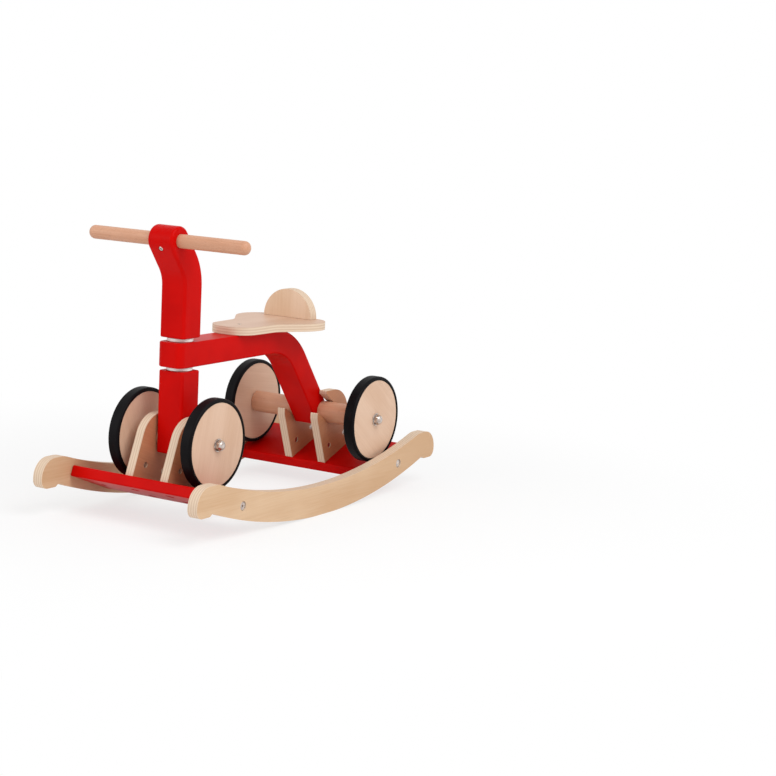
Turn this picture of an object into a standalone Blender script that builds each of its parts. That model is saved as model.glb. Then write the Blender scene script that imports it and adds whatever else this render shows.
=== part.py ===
"""A rocking ride-on toy in painted wood and birch plywood: a four-wheeled sit-on bolted into a rocker base.

X runs to the rider's left, -Y to the front and Z up. The origin is on the floor, midway between the axles.
Outlines in the side view are pairs of (distance along Y, height).
"""

import math

import bmesh
import bpy
from mathutils import Matrix, Vector

# Fits
GAP = 0.0003                    # between pieces that touch
HOLE_SLACK = 0.0005             # left free at the end of a blind hole
FLAT_ANGLE = 0.1                # degrees up to which neighbouring faces count as one flat
SHARP_ANGLE = 40.0              # degrees between two faces from which their edge is rounded
ARC_STEP = 18.0                 # degrees of a corner arc that one flat takes
WHEEL_FLATS = 32
ROUND_FLATS = 24
SHAFT_FLATS = 12
BOLT_FLATS = 10
BARREL_FLATS = 12

# Wheels
WHEELBASE = 0.3824
DISC_RADIUS = 0.0680
DISC_THICKNESS = 0.0180
DISC_CHAMFER = 0.0012
TYRE_RADIUS = 0.0742
TYRE_WIDTH = 0.0202
TREAD_ROUNDING = 0.0038
GROOVE_WIDTH = 0.0080
GROOVE_DEPTH = 0.0020
HUB_BUSH_RADIUS = 0.0065

# Axles
AXLE_RADIUS = 0.0040
WASHER_RADIUS = 0.0108
WASHER_THICKNESS = 0.0012
NUT_RADIUS = 0.0090
NUT_HEIGHT = 0.0055
CAP_RADIUS = 0.0080
CAP_HEIGHT = 0.0050
SPACER_RADIUS = 0.0185
FRONT_SPACER_LENGTH = 0.03775
REAR_SPACER_LENGTH = 0.09125

# Frame: heights are counted from the axles
POST_WIDTH = 0.0485
POST_DEPTH = 0.0460
LEG_BELOW_AXLE = 0.0228
FRONT_LEG_LENGTH = 0.1335
BEAM_DEPTH = 0.0403
BEAM_NOSE = 0.0295              # from the steering axis to the beam's front face
BEAM_BEND_RADIUS = 0.1000       # on the centre line
REAR_LEG_ANGLE = 53.2           # below the horizontal
AXLE_BEHIND_LEG = 0.0034        # from the rear leg's centre line to the axle
HEEL_RADIUS = 0.0140
POST_CORNER_HEIGHT = 0.1040     # from the post's foot to the corner of its bend
POST_LEAN = 36.0
POST_LEAN_LENGTH = 0.0647       # from that corner to the handlebar
POST_BEND_RADIUS = 0.0700       # on the centre line
EDGE_ROUNDING = 0.0050          # long edges of the post and the front leg
NOSE_ROUNDING = 0.0125          # upright edges of the beam's front end
RIM_ROUNDING = 0.0025           # every other painted edge

# Steering
SPINDLE_RADIUS = 0.0060
SPINDLE_IN_POST = 0.0400
SPINDLE_IN_LEG = 0.0600
BUSH_RADIUS = 0.0090
STEERING_DISC_RADIUS = 0.0210
STEERING_DISC_THICKNESS = 0.0055
STEERING_PLAY = 1.5             # degrees each way that the front cradles leave

# Handlebar
BAR_LENGTH = 0.3100
BAR_RADIUS = 0.0110
BAR_END_ROUNDING = 0.0095

# Seat and backrest
SEAT_THICKNESS = 0.0130
SEAT_FRONT = 0.1155             # from the steering axis to the seat's front edge
SEAT_NOSE_HALF = 0.0395
SEAT_WAIST_HALF = 0.0435
SEAT_REAR_HALF = 0.0815
SEAT_LENGTH = 0.2030
SEAT_SIDE = 0.0570              # from the seat's rear edge to its shoulder
SEAT_FLARE = 0.0570             # from the shoulder to the waist
SEAT_NOSE_RADIUS = 0.0360
SEAT_WAIST_RADIUS = 0.0250
SEAT_SHOULDER_RADIUS = 0.0600
SEAT_CORNER_RADIUS = 0.0380
PLY_ROUNDING = 0.0040
BACKREST_RADIUS = 0.0482
BACKREST_THICKNESS = 0.0180
BACKREST_SETBACK = 0.0038       # from the seat's rear edge to the backrest

# Rocker base
ROCKER_THICKNESS = 0.0180
ROCKER_GAUGE = 0.2870           # between the rockers' inner faces
ROCKER_HALF_LENGTH = 0.3485
ROCKER_RADIUS = 0.9400
ROCKER_FLAT = 0.0600            # short flat on which the rockers come to rest
ROCKER_MIDDLE = 0.0490          # height of the band at its middle
ROCKER_TOP_RADIUS = 0.9740
HEAD_LENGTH = 0.0527            # from a rocker's end to where its raised head begins
HEAD_RADIUS = 0.0310
HEAD_BLEND = 0.0600
FOOT_STEP = 0.0043              # how far the foot steps down from the rocker's round
FOOT_LENGTH = 0.0335
FOOT_RADIUS = 0.0140
NOTCH_LENGTH = 0.0060
NOTCH_RADIUS = 0.0040
ROCKER_ROUNDING = 0.0030
BOARD_WIDTH = 0.1050
BOARD_THICKNESS = 0.0180
BOARD_DROP = 0.0016             # a board's middle below the middle of the rockers there
BOARD_BEYOND_AXLE = 0.0383      # from an axle outward to the middle of a board
TYRE_CLEARANCE = 0.0042         # between a tyre and the board under it
BOARD_TILT = 20.8

# Cradles that hold the axle spacers
CRADLE_THICKNESS = 0.0150
CRADLE_AT = 0.0345              # from the middle plane to the middle of a cradle
CRADLE_INNER_INSET = 0.0025     # from the board's inner edge to the cradle's foot
CRADLE_OUTER_INSET = 0.0085
CRADLE_SLOT_ANGLE = 33.5        # of the slot above the horizontal
REAR_SLOT_PLAY = 0.0004
CRADLE_BACK_RADIUS = 0.0447
CRADLE_BACK_AT = 0.0093         # the back arc's centre, outward of the axle
CRADLE_BACK_DROP = 0.0055       # and below it
CRADLE_TIP_AT = 0.0157          # the upper tip, inward of the axle
CRADLE_TIP_ROUNDING = 0.0020
HORN_AT = 0.0412                # the lower horn, inward of the axle
HORN_DROP = 0.0120              # from the horn's top to where its inner edge turns
HORN_ROUNDING = 0.0150
CRADLE_CHAMFER = 0.0010

# Fixings
BOLT_RADIUS = 0.0030
BOLT_HEAD_RADIUS = 0.0065
BOLT_HEAD_HEIGHT = 0.0030
SOCKET_RADIUS = 0.0023
SOCKET_DEPTH = 0.0018
BARREL_RADIUS = 0.0050
CRADLE_BARREL_HEIGHT = 0.0245   # above the board's top
CRADLE_BOLT_SPACING = 0.0480
CRADLE_BOLT_SHIFT = -0.0050     # of the pair's middle from the board's middle
BOLT_PAST_BARREL = 0.0025       # how far a bolt runs on past its barrel nut
BOARD_BARREL_INSET = 0.0300     # from the board's end to its barrel nut
BOARD_BARREL_LENGTH = 0.0120
DOWEL_RADIUS = 0.0040
DOWEL_SPACING = 0.0640
DOWEL_IN_ROCKER = 0.0110
DOWEL_IN_BOARD = 0.0180
WOODSCREW_RADIUS = 0.0022
WOODSCREW_HEAD_RADIUS = 0.0045
WOODSCREW_HEAD_HEIGHT = 0.0028
SEAT_SCREW_AT = 0.0432          # from the seat's front edge
SEAT_SCREW_IN_BEAM = 0.0220
SEAT_DOWEL_SPACING = 0.0440
SEAT_DOWEL_IN_BEAM = 0.0120
BACKREST_SCREW_SPACING = 0.0500
BACKREST_SCREW_DEPTH = 0.0220
BAR_SCREW_PAST_CENTRE = 0.0060


def rocker_bottom(y):
    return ROCKER_RADIUS - math.sqrt(ROCKER_RADIUS ** 2 - y ** 2) - flat_lift()


def flat_lift():
    """How far the short flat cuts into the rocker's round, so that the flat is at height 0."""
    return ROCKER_RADIUS - math.sqrt(ROCKER_RADIUS ** 2 - (ROCKER_FLAT / 2) ** 2)


def rocker_top(y):
    return ROCKER_MIDDLE + ROCKER_TOP_RADIUS - math.sqrt(ROCKER_TOP_RADIUS ** 2 - y ** 2)


def board_height():
    return (rocker_bottom(BOARD_AT) + rocker_top(BOARD_AT)) / 2 - BOARD_DROP


def axle_height():
    """The height at which the tyres clear the tilted boards."""
    reach = TYRE_RADIUS + TYRE_CLEARANCE + BOARD_THICKNESS / 2
    return board_height() + (reach - BOARD_BEYOND_AXLE * math.sin(TILT)) / math.cos(TILT)


# Places worked out from those sizes
FRONT_AXLE = -WHEELBASE / 2
REAR_AXLE = WHEELBASE / 2
BOARD_AT = REAR_AXLE + BOARD_BEYOND_AXLE
TILT = math.radians(BOARD_TILT)
AXLE_HEIGHT = axle_height()
HALF_POST = POST_WIDTH / 2
LEG_TOP = AXLE_HEIGHT - LEG_BELOW_AXLE + FRONT_LEG_LENGTH
BEAM_BOTTOM = LEG_TOP + STEERING_DISC_THICKNESS + 2 * GAP
BEAM_TOP = BEAM_BOTTOM + BEAM_DEPTH
POST_FOOT = BEAM_TOP + STEERING_DISC_THICKNESS + 2 * GAP
LEAN = math.radians(POST_LEAN)
POST_CORNER = POST_FOOT + POST_CORNER_HEIGHT
BAR_Y = FRONT_AXLE - POST_LEAN_LENGTH * math.sin(LEAN)
BAR_Z = POST_CORNER + POST_LEAN_LENGTH * math.cos(LEAN)
SEAT_BOTTOM = BEAM_TOP + GAP
SEAT_TOP = SEAT_BOTTOM + SEAT_THICKNESS
SEAT_FRONT_Y = FRONT_AXLE + SEAT_FRONT
SEAT_REAR_Y = SEAT_FRONT_Y + SEAT_LENGTH
BACKREST_Y = SEAT_REAR_Y - BACKREST_SETBACK - BACKREST_THICKNESS / 2
ROCKER_X = ROCKER_GAUGE / 2 + ROCKER_THICKNESS / 2
BOARD_HALF_LENGTH = ROCKER_GAUGE / 2 - GAP
AXLE_BORE = AXLE_RADIUS + GAP
BOLT_BORE = BOLT_RADIUS + GAP
WOODSCREW_BORE = WOODSCREW_RADIUS + GAP
SWING_AT_CRADLE = (CRADLE_AT + CRADLE_THICKNESS / 2) * math.sin(math.radians(STEERING_PLAY))
SLOT_PLAY = {"front": SWING_AT_CRADLE + GAP, "rear": REAR_SLOT_PLAY}
SIDE_VIEW = (math.radians(90), 0, math.radians(90))
SIDEWAYS = (0, math.radians(90), 0)
ENDS = {"front": -1, "rear": 1}
SIDES = {"left": 1, "right": -1}

# Colour, roughness and metallic value of each finish
FINISHES = {
    "red_paint": ((0.500, 0.006, 0.004), 0.22, 0.0),
    "birch": ((0.730, 0.515, 0.330), 0.45, 0.0),
    "beech": ((0.640, 0.350, 0.200), 0.50, 0.0),
    "rubber": ((0.012, 0.012, 0.013), 0.60, 0.0),
    "zinc": ((0.600, 0.590, 0.570), 0.30, 1.0),
    "nylon": ((0.850, 0.850, 0.830), 0.40, 0.0),
}


def clear_scene():
    for item in list(bpy.data.objects):
        bpy.data.objects.remove(item, do_unlink=True)


def new_collection(name):
    collection = bpy.data.collections.new(name)
    bpy.context.scene.collection.children.link(collection)
    return collection


def paint(item, finish):
    """Gives a piece its own material."""
    colour, roughness, metallic = FINISHES[finish]
    material = bpy.data.materials.new(f"{item.name}_{finish}")
    material.use_nodes = True
    shader = material.node_tree.nodes["Principled BSDF"]
    shader.inputs["Base Color"].default_value = (*colour, 1.0)
    shader.inputs["Roughness"].default_value = roughness
    shader.inputs["Metallic"].default_value = metallic
    material.diffuse_color = (*colour, 1.0)
    item.data.materials.clear()
    item.data.materials.append(material)


def put(name, mesh, collection, location=(0, 0, 0), rotation=(0, 0, 0), parent=None):
    """Places a mesh as an object whose place is given in the world, also under a parent empty."""
    item = bpy.data.objects.new(name, mesh)
    collection.objects.link(item)
    item.rotation_euler = rotation
    item.location = Vector(location)
    if parent:
        item.parent = parent
        item.location -= parent.location
    return item


def pivot(name, location, parent=None):
    """An empty on a joint's axis."""
    empty = put(name, None, parts, location, parent=parent)
    empty.empty_display_size = HUB_BUSH_RADIUS * 2
    return empty


def fitted_radii(corners):
    """The corners' radii, with two arcs that meet on one side limited to that side's length."""
    places = [Vector(corner[:2]) for corner in corners]
    reaches = []
    for index, (a, b, radius) in enumerate(corners):
        before = places[index - 1] - places[index]
        after = places[(index + 1) % len(corners)] - places[index]
        reaches.append(radius * math.tan((math.pi - before.angle(after)) / 2) if radius else 0)
    shares = []
    for index, reach in enumerate(reaches):
        following = (index + 1) % len(corners)
        both = reach + reaches[following]
        side = (places[following] - places[index]).length
        shares.append(min(1, side / both) if both else 1)
    return [corner[2] * min(shares[index - 1], shares[index]) for index, corner in enumerate(corners)]


def rounded(corners):
    """Turns corners (a, b, radius) into a closed outline whose corners are arcs tangent to their sides."""
    points = []
    radii = fitted_radii(corners)
    for index, radius in enumerate(radii):
        here = Vector(corners[index][:2])
        before = Vector(corners[index - 1][:2]) - here
        after = Vector(corners[(index + 1) % len(corners)][:2]) - here
        if radius:
            turn = math.pi - before.angle(after)
            start = before.normalized() * radius * math.tan(turn / 2)
            centre = (before.normalized() + after.normalized()).normalized() * radius / math.cos(turn / 2)
            way = math.copysign(turn, -before.cross(after))
            steps = max(1, math.ceil(math.degrees(turn) / ARC_STEP - 0.01))
            spoke = start - centre
            found = [here + centre + Matrix.Rotation(way * k / steps, 2) @ spoke for k in range(steps + 1)]
        else:
            found = [here]
        points += [point for point in found if not points or (point - points[-1]).length > GAP]
    return points


def cleaned(mesh):
    """Welds a mesh and turns its faces outwards."""
    work = bmesh.new()
    work.from_mesh(mesh)
    bmesh.ops.remove_doubles(work, verts=work.verts, dist=GAP / 30)
    bmesh.ops.recalc_face_normals(work, faces=work.faces)
    work.to_mesh(mesh)
    work.free()
    return mesh


def plate(name, outline, thickness, collection, location=(0, 0, 0), rotation=SIDE_VIEW, parent=None):
    """A flat outline with a thickness, centred on its plane, as a mesh object."""
    curve = bpy.data.curves.new(name, "CURVE")
    curve.dimensions = "2D"
    curve.fill_mode = "BOTH"
    curve.extrude = thickness / 2
    spline = curve.splines.new("POLY")
    spline.points.add(len(outline) - 1)
    for point, place in zip(spline.points, outline):
        point.co = (place[0], place[1], 0, 1)
    spline.use_cyclic_u = True
    drawn = put(name + "_outline", curve, collection, location, rotation, parent)
    bpy.context.view_layer.update()
    mesh = bpy.data.meshes.new_from_object(drawn.evaluated_get(bpy.context.evaluated_depsgraph_get()))
    item = put(name, cleaned(mesh), collection, location, rotation, parent)
    bpy.context.view_layer.update()
    item.matrix_world = drawn.matrix_world
    bpy.data.objects.remove(drawn)
    bpy.data.curves.remove(curve)
    return item


def round_edges(item, wanted, radius):
    """Rounds the edges that wanted(middle, direction) picks, in the piece's own coordinates."""
    work = bmesh.new()
    work.from_mesh(item.data)
    bmesh.ops.dissolve_limit(work, angle_limit=math.radians(FLAT_ANGLE), verts=work.verts, edges=work.edges)
    picked = []
    for edge in work.edges:
        start, end = (vertex.co for vertex in edge.verts)
        corner = edge.calc_face_angle(0) > math.radians(SHARP_ANGLE)
        if corner and wanted((start + end) / 2, (end - start).normalized()):
            picked.append(edge)
    bmesh.ops.bevel(
        work, geom=picked, offset=radius, segments=3, profile=0.5, affect="EDGES", clamp_overlap=True
    )
    work.to_mesh(item.data)
    work.free()


def soften(item, radius, segments=2):
    bevel = item.modifiers.new("rounded rims", "BEVEL")
    bevel.width = radius
    bevel.segments = segments
    bevel.limit_method = "ANGLE"
    bevel.angle_limit = math.radians(SHARP_ANGLE)


def turned(name, profile, flats, collection, location=(0, 0, 0), rotation=(0, 0, 0), parent=None, ring=True):
    """A turned piece: (radius, height) pairs that run down its outer side, about its own Z."""
    mesh = bpy.data.meshes.new(name)
    edges = [(k, k + 1) for k in range(len(profile) - 1)]
    if ring:
        edges.append((len(profile) - 1, 0))
    mesh.from_pydata([(radius, 0, height) for radius, height in profile], edges, [])
    item = put(name, mesh, collection, location, rotation, parent)
    screw = item.modifiers.new("turned", "SCREW")
    screw.axis = "Z"
    screw.steps = flats
    screw.render_steps = flats
    screw.use_merge_vertices = True
    screw.merge_threshold = GAP / 30
    screw.use_smooth_shade = True
    return item


def sleeve(inner, outer, half):
    """Profile of a plain tube, half its length to each side."""
    return [(inner, half), (outer, half), (outer, -half), (inner, -half)]


def box(name, size, collection, location=(0, 0, 0), rotation=(0, 0, 0)):
    work = bmesh.new()
    bmesh.ops.create_cube(work, size=1.0)
    bmesh.ops.scale(work, vec=size, verts=work.verts)
    mesh = bpy.data.meshes.new(name)
    work.to_mesh(mesh)
    work.free()
    return put(name, mesh, collection, location, rotation)


def cylinder_mesh(radius, length, flats):
    work = bmesh.new()
    bmesh.ops.create_cone(
        work, cap_ends=True, segments=flats, radius1=radius, radius2=radius, depth=length
    )
    mesh = bpy.data.meshes.new("cylinder")
    work.to_mesh(mesh)
    work.free()
    return mesh


def along(start, end):
    """The matrix that puts a cylinder of this length's middle, along its own Z, between two points."""
    start, end = Vector(start), Vector(end)
    turn = (end - start).to_track_quat("Z", "Y").to_matrix().to_4x4()
    return Matrix.Translation((start + end) / 2) @ turn


def rod(name, radius, start, end, collection, flats=SHAFT_FLATS, parent=None):
    """A cylinder from one point to another, in world coordinates."""
    start, end = Vector(start), Vector(end)
    mesh = cylinder_mesh(radius, (end - start).length, flats)
    item = put(name, mesh, collection)
    item.matrix_world = along(start, end)
    if parent:
        item.parent = parent
        item.location -= parent.location
    return item


def cut(item, *guides):
    """Takes the guides' shapes out of a piece."""
    for guide in guides:
        guide.hide_render = True
        guide.display_type = "WIRE"
        boolean = item.modifiers.new("cut " + guide.name, "BOOLEAN")
        boolean.operation = "DIFFERENCE"
        boolean.object = guide


def join(item, *guides):
    """Makes the guides' shapes one body with a piece."""
    for guide in guides:
        guide.hide_render = True
        guide.display_type = "WIRE"
        boolean = item.modifiers.new("join " + guide.name, "BOOLEAN")
        boolean.operation = "UNION"
        boolean.object = guide


def drill(item, radius, start, end, flats=SHAFT_FLATS):
    """Drills a piece between two points in the world."""
    cut(item, rod(item.name + "_hole", radius, start, end, cutters, flats))


def evaluated(item):
    """The mesh of a piece with its modifiers, in its own coordinates, and the piece is removed."""
    bpy.context.view_layer.update()
    mesh = bpy.data.meshes.new_from_object(item.evaluated_get(bpy.context.evaluated_depsgraph_get()))
    bpy.data.objects.remove(item)
    return mesh


def fastener(name, mesh, matrix, parent=None):
    """One fastener of a kind, whose mesh the others share, at its matrix in the world."""
    item = put(name, mesh, parts)
    item.matrix_world = matrix
    if parent:
        item.parent = parent
        item.location -= parent.location
    return item


def smooth(item):
    item.data.shade_smooth()
    item.data.set_sharp_from_angle(angle=math.radians(35))


def bolt_profile(radius, head_radius, head_height, length):
    """A bolt along Z: its head's underside at height 0, its shank below and a blind socket in its head."""
    return [
        (0, head_height - SOCKET_DEPTH),
        (SOCKET_RADIUS, head_height - SOCKET_DEPTH),
        (SOCKET_RADIUS, head_height),
        (head_radius, head_height),
        (head_radius, 0),
        (radius, 0),
        (radius, -length),
        (0, -length),
    ]


def bolt_mesh(name, radius, head_radius, head_height, length, barrel_length=0, barrel_depth=0):
    """A bolt or screw, with its barrel nut along X where it has one, that many metres below its head."""
    profile = bolt_profile(radius, head_radius, head_height, length)
    bolt = turned(name, profile, BOLT_FLATS, cutters, ring=False)
    if barrel_length:
        barrel = put(name + "_barrel", cylinder_mesh(BARREL_RADIUS, barrel_length, BARREL_FLATS), cutters)
        barrel.rotation_euler = SIDEWAYS
        barrel.location.z = -barrel_depth
        join(bolt, barrel)
    paint(bolt, "zinc")
    return evaluated(bolt)


def seated(place, shank, barrel=(1, 0, 0)):
    """The matrix that puts a bolt's head on a point, with its shank and its barrel nut along directions."""
    z = -Vector(shank).normalized()
    x = Vector(barrel)
    turn = Matrix((x, z.cross(x), z)).transposed().to_4x4()
    return Matrix.Translation(place) @ turn


def on_board(end, x, out, up):
    """A point by its place across a board, outward from the board's middle and up from its mid-plane."""
    away = BOARD_AT + out * math.cos(TILT) - up * math.sin(TILT)
    return Vector((x, end * away, board_height() + out * math.sin(TILT) + up * math.cos(TILT)))


def board_normal(end):
    return Vector((0, -end * math.sin(TILT), math.cos(TILT)))


def bent_strip(path_start, bend_corner, turn, end_length, radius, depth):
    """Both sides of a strip of even depth whose centre line turns once, as (one side, other side).

    turn is the signed angle of the bend, and the centre line's bend has the given radius.
    """
    start, corner = Vector(path_start), Vector(bend_corner)
    ahead = (corner - start).normalized()
    after = Matrix.Rotation(turn, 2) @ ahead
    centre = corner - ahead * radius * math.tan(abs(turn) / 2)
    side = Vector((-ahead.y, ahead.x)) * math.copysign(1, turn)
    centre += side * radius
    steps = math.ceil(math.degrees(abs(turn)) / (ARC_STEP / 2))
    sides = []
    for reach in (radius - depth / 2, radius + depth / 2):
        spokes = [Matrix.Rotation(turn * k / steps, 2) @ (-side) * reach for k in range(steps + 1)]
        arc = [centre + spoke for spoke in spokes]
        first = start + side * (radius - reach)
        last = corner + after * end_length + Matrix.Rotation(turn, 2) @ side * (radius - reach)
        sides.append([first, *arc, last])
    return sides


def sharp(points):
    return [(point[0], point[1], 0) for point in points]


def beam_outline():
    """The beam runs level under the seat and bends down into the rear leg."""
    turn = -math.radians(REAR_LEG_ANGLE)
    level = BEAM_BOTTOM + BEAM_DEPTH / 2
    down = Vector((math.cos(turn), math.sin(turn)))
    normal = Vector((-down.y, down.x))
    foot = AXLE_HEIGHT - LEG_BELOW_AXLE
    on_line = Vector((REAR_AXLE, AXLE_HEIGHT)) - normal * AXLE_BEHIND_LEG
    corner = on_line + down * (level - on_line.y) / down.y
    long_leg = (level - foot) / -down.y + BEAM_DEPTH
    front = FRONT_AXLE - BEAM_NOSE
    inside, outside = bent_strip((front, level), corner, turn, long_leg, BEAM_BEND_RADIUS, BEAM_DEPTH)
    ends = []
    for side in (inside, outside):
        slope = side[-1] - side[-2]
        ends.append(side[-2] + slope * (foot - side[-2].y) / slope.y)
    toe, heel = ends
    return rounded([
        *sharp(inside[:-1]),
        (toe.x, toe.y, 0),
        (heel.x, heel.y, HEEL_RADIUS),
        *sharp(reversed(outside[:-1])),
    ])


def post_outline():
    """The post stands straight, then leans forward to a round head about the handlebar."""
    foot = (FRONT_AXLE, POST_FOOT)
    corner = (FRONT_AXLE, POST_CORNER)
    inside, outside = bent_strip(foot, corner, LEAN, POST_LEAN_LENGTH, POST_BEND_RADIUS, POST_DEPTH)
    bar = Vector((BAR_Y, BAR_Z))
    spoke = outside[-1] - bar
    steps = math.ceil(180 / ARC_STEP)
    head = [bar + Matrix.Rotation(math.pi * k / steps, 2) @ spoke for k in range(1, steps)]
    return [*outside, *head, *reversed(inside)]


def make_frame():
    """The beam, which carries the seat and bends down into the rear leg, and the bush in its front end."""
    beam = plate("frame_beam", beam_outline(), POST_WIDTH, parts)
    nose = FRONT_AXLE - BEAM_NOSE

    def at_nose(middle, direction):
        return abs(middle.x - nose) < GAP and abs(direction.y) > 0.9

    round_edges(beam, at_nose, NOSE_ROUNDING)
    soften(beam, RIM_ROUNDING)
    below = (0, FRONT_AXLE, BEAM_BOTTOM - BEAM_DEPTH)
    drill(beam, BUSH_RADIUS + GAP, below, (0, FRONT_AXLE, BEAM_TOP + BEAM_DEPTH), ROUND_FLATS)
    drill(beam, AXLE_BORE, (-POST_WIDTH, REAR_AXLE, AXLE_HEIGHT), (POST_WIDTH, REAR_AXLE, AXLE_HEIGHT))
    for y in seat_dowel_places():
        hole_end = (0, y, BEAM_TOP - SEAT_DOWEL_IN_BEAM - HOLE_SLACK)
        drill(beam, DOWEL_RADIUS + GAP, hole_end, (0, y, SEAT_TOP), BOLT_FLATS)
    screw_y = SEAT_FRONT_Y + SEAT_SCREW_AT
    bottom = BEAM_TOP - SEAT_SCREW_IN_BEAM - HOLE_SLACK
    drill(beam, WOODSCREW_BORE, (0, screw_y, bottom), (0, screw_y, SEAT_TOP), BOLT_FLATS)
    smooth(beam)
    paint(beam, "red_paint")

    profile = sleeve(SPINDLE_RADIUS + GAP, BUSH_RADIUS, BEAM_DEPTH / 2)
    bush = turned("steering_bush", profile, ROUND_FLATS, parts, (0, FRONT_AXLE, BEAM_BOTTOM + BEAM_DEPTH / 2))
    paint(bush, "nylon")


def seat_dowel_places():
    """One hidden dowel in front of the seat screw and one behind it."""
    middle = SEAT_FRONT_Y + SEAT_SCREW_AT
    return (middle - SEAT_DOWEL_SPACING / 2, middle + SEAT_DOWEL_SPACING / 2)


def seat_outline():
    """The seat's plan: a narrow nose, a waist and a wide rear, by its corners."""
    shoulder = SEAT_REAR_Y - SEAT_SIDE
    side = [
        (SEAT_NOSE_HALF, SEAT_FRONT_Y, SEAT_NOSE_RADIUS),
        (SEAT_WAIST_HALF, shoulder - SEAT_FLARE, SEAT_WAIST_RADIUS),
        (SEAT_REAR_HALF, shoulder, SEAT_SHOULDER_RADIUS),
        (SEAT_REAR_HALF, SEAT_REAR_Y, SEAT_CORNER_RADIUS),
    ]
    other = [(-x, y, radius) for x, y, radius in reversed(side)]
    return rounded(side + other)


def make_seat():
    middle = SEAT_BOTTOM + SEAT_THICKNESS / 2
    above = SEAT_TOP + SEAT_THICKNESS
    seat = plate("seat", seat_outline(), SEAT_THICKNESS, parts, (0, 0, middle), (0, 0, 0))
    soften(seat, PLY_ROUNDING)
    for y in seat_dowel_places():
        bottom = (0, y, BEAM_TOP - SEAT_DOWEL_IN_BEAM)
        join(seat, rod("seat_dowel", DOWEL_RADIUS, bottom, (0, y, middle), cutters, BOLT_FLATS))
    screw_y = SEAT_FRONT_Y + SEAT_SCREW_AT
    drill(seat, WOODSCREW_BORE, (0, screw_y, SEAT_BOTTOM - SEAT_THICKNESS), (0, screw_y, SEAT_TOP), BOLT_FLATS)
    sink = SEAT_TOP - WOODSCREW_HEAD_HEIGHT - GAP
    head_bore = WOODSCREW_HEAD_RADIUS + GAP
    drill(seat, head_bore, (0, screw_y, sink - GAP), (0, screw_y, above), BOLT_FLATS)
    head = SEAT_BOTTOM + WOODSCREW_HEAD_HEIGHT + 2 * GAP
    for x in (-BACKREST_SCREW_SPACING / 2, BACKREST_SCREW_SPACING / 2):
        drill(seat, WOODSCREW_BORE, (x, BACKREST_Y, BEAM_BOTTOM), (x, BACKREST_Y, above), BOLT_FLATS)
        drill(seat, head_bore, (x, BACKREST_Y, BEAM_BOTTOM), (x, BACKREST_Y, head), BOLT_FLATS)
    smooth(seat)
    paint(seat, "birch")

    length = sink - BEAM_TOP + SEAT_SCREW_IN_BEAM
    screw = bolt_mesh("seat_screw", WOODSCREW_RADIUS, WOODSCREW_HEAD_RADIUS, WOODSCREW_HEAD_HEIGHT, length)
    fastener("seat_screw", screw, seated((0, screw_y, sink), (0, 0, -1)))


def make_backrest():
    """A half disc that stands on the seat."""
    steps = math.ceil(360 / ARC_STEP)
    arc = [math.pi * k / steps for k in range(steps + 1)]
    outline = [(BACKREST_RADIUS * math.cos(angle), BACKREST_RADIUS * math.sin(angle)) for angle in arc]
    place = (0, BACKREST_Y, SEAT_TOP + GAP)
    backrest = plate("backrest", outline, BACKREST_THICKNESS, parts, place, (math.radians(90), 0, 0))
    soften(backrest, PLY_ROUNDING)
    reach = SEAT_TOP + BACKREST_SCREW_DEPTH
    head = SEAT_BOTTOM + WOODSCREW_HEAD_HEIGHT + GAP
    screw = bolt_mesh(
        "backrest_screw", WOODSCREW_RADIUS, WOODSCREW_HEAD_RADIUS, WOODSCREW_HEAD_HEIGHT, reach - head
    )
    for side, sign in SIDES.items():
        x = sign * BACKREST_SCREW_SPACING / 2
        hole_end = (x, BACKREST_Y, reach + HOLE_SLACK)
        drill(backrest, WOODSCREW_BORE, (x, BACKREST_Y, SEAT_BOTTOM), hole_end, BOLT_FLATS)
        fastener(f"backrest_screw_{side}", screw, seated((x, BACKREST_Y, head), (0, 0, 1)))
    smooth(backrest)
    paint(backrest, "birch")


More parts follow.
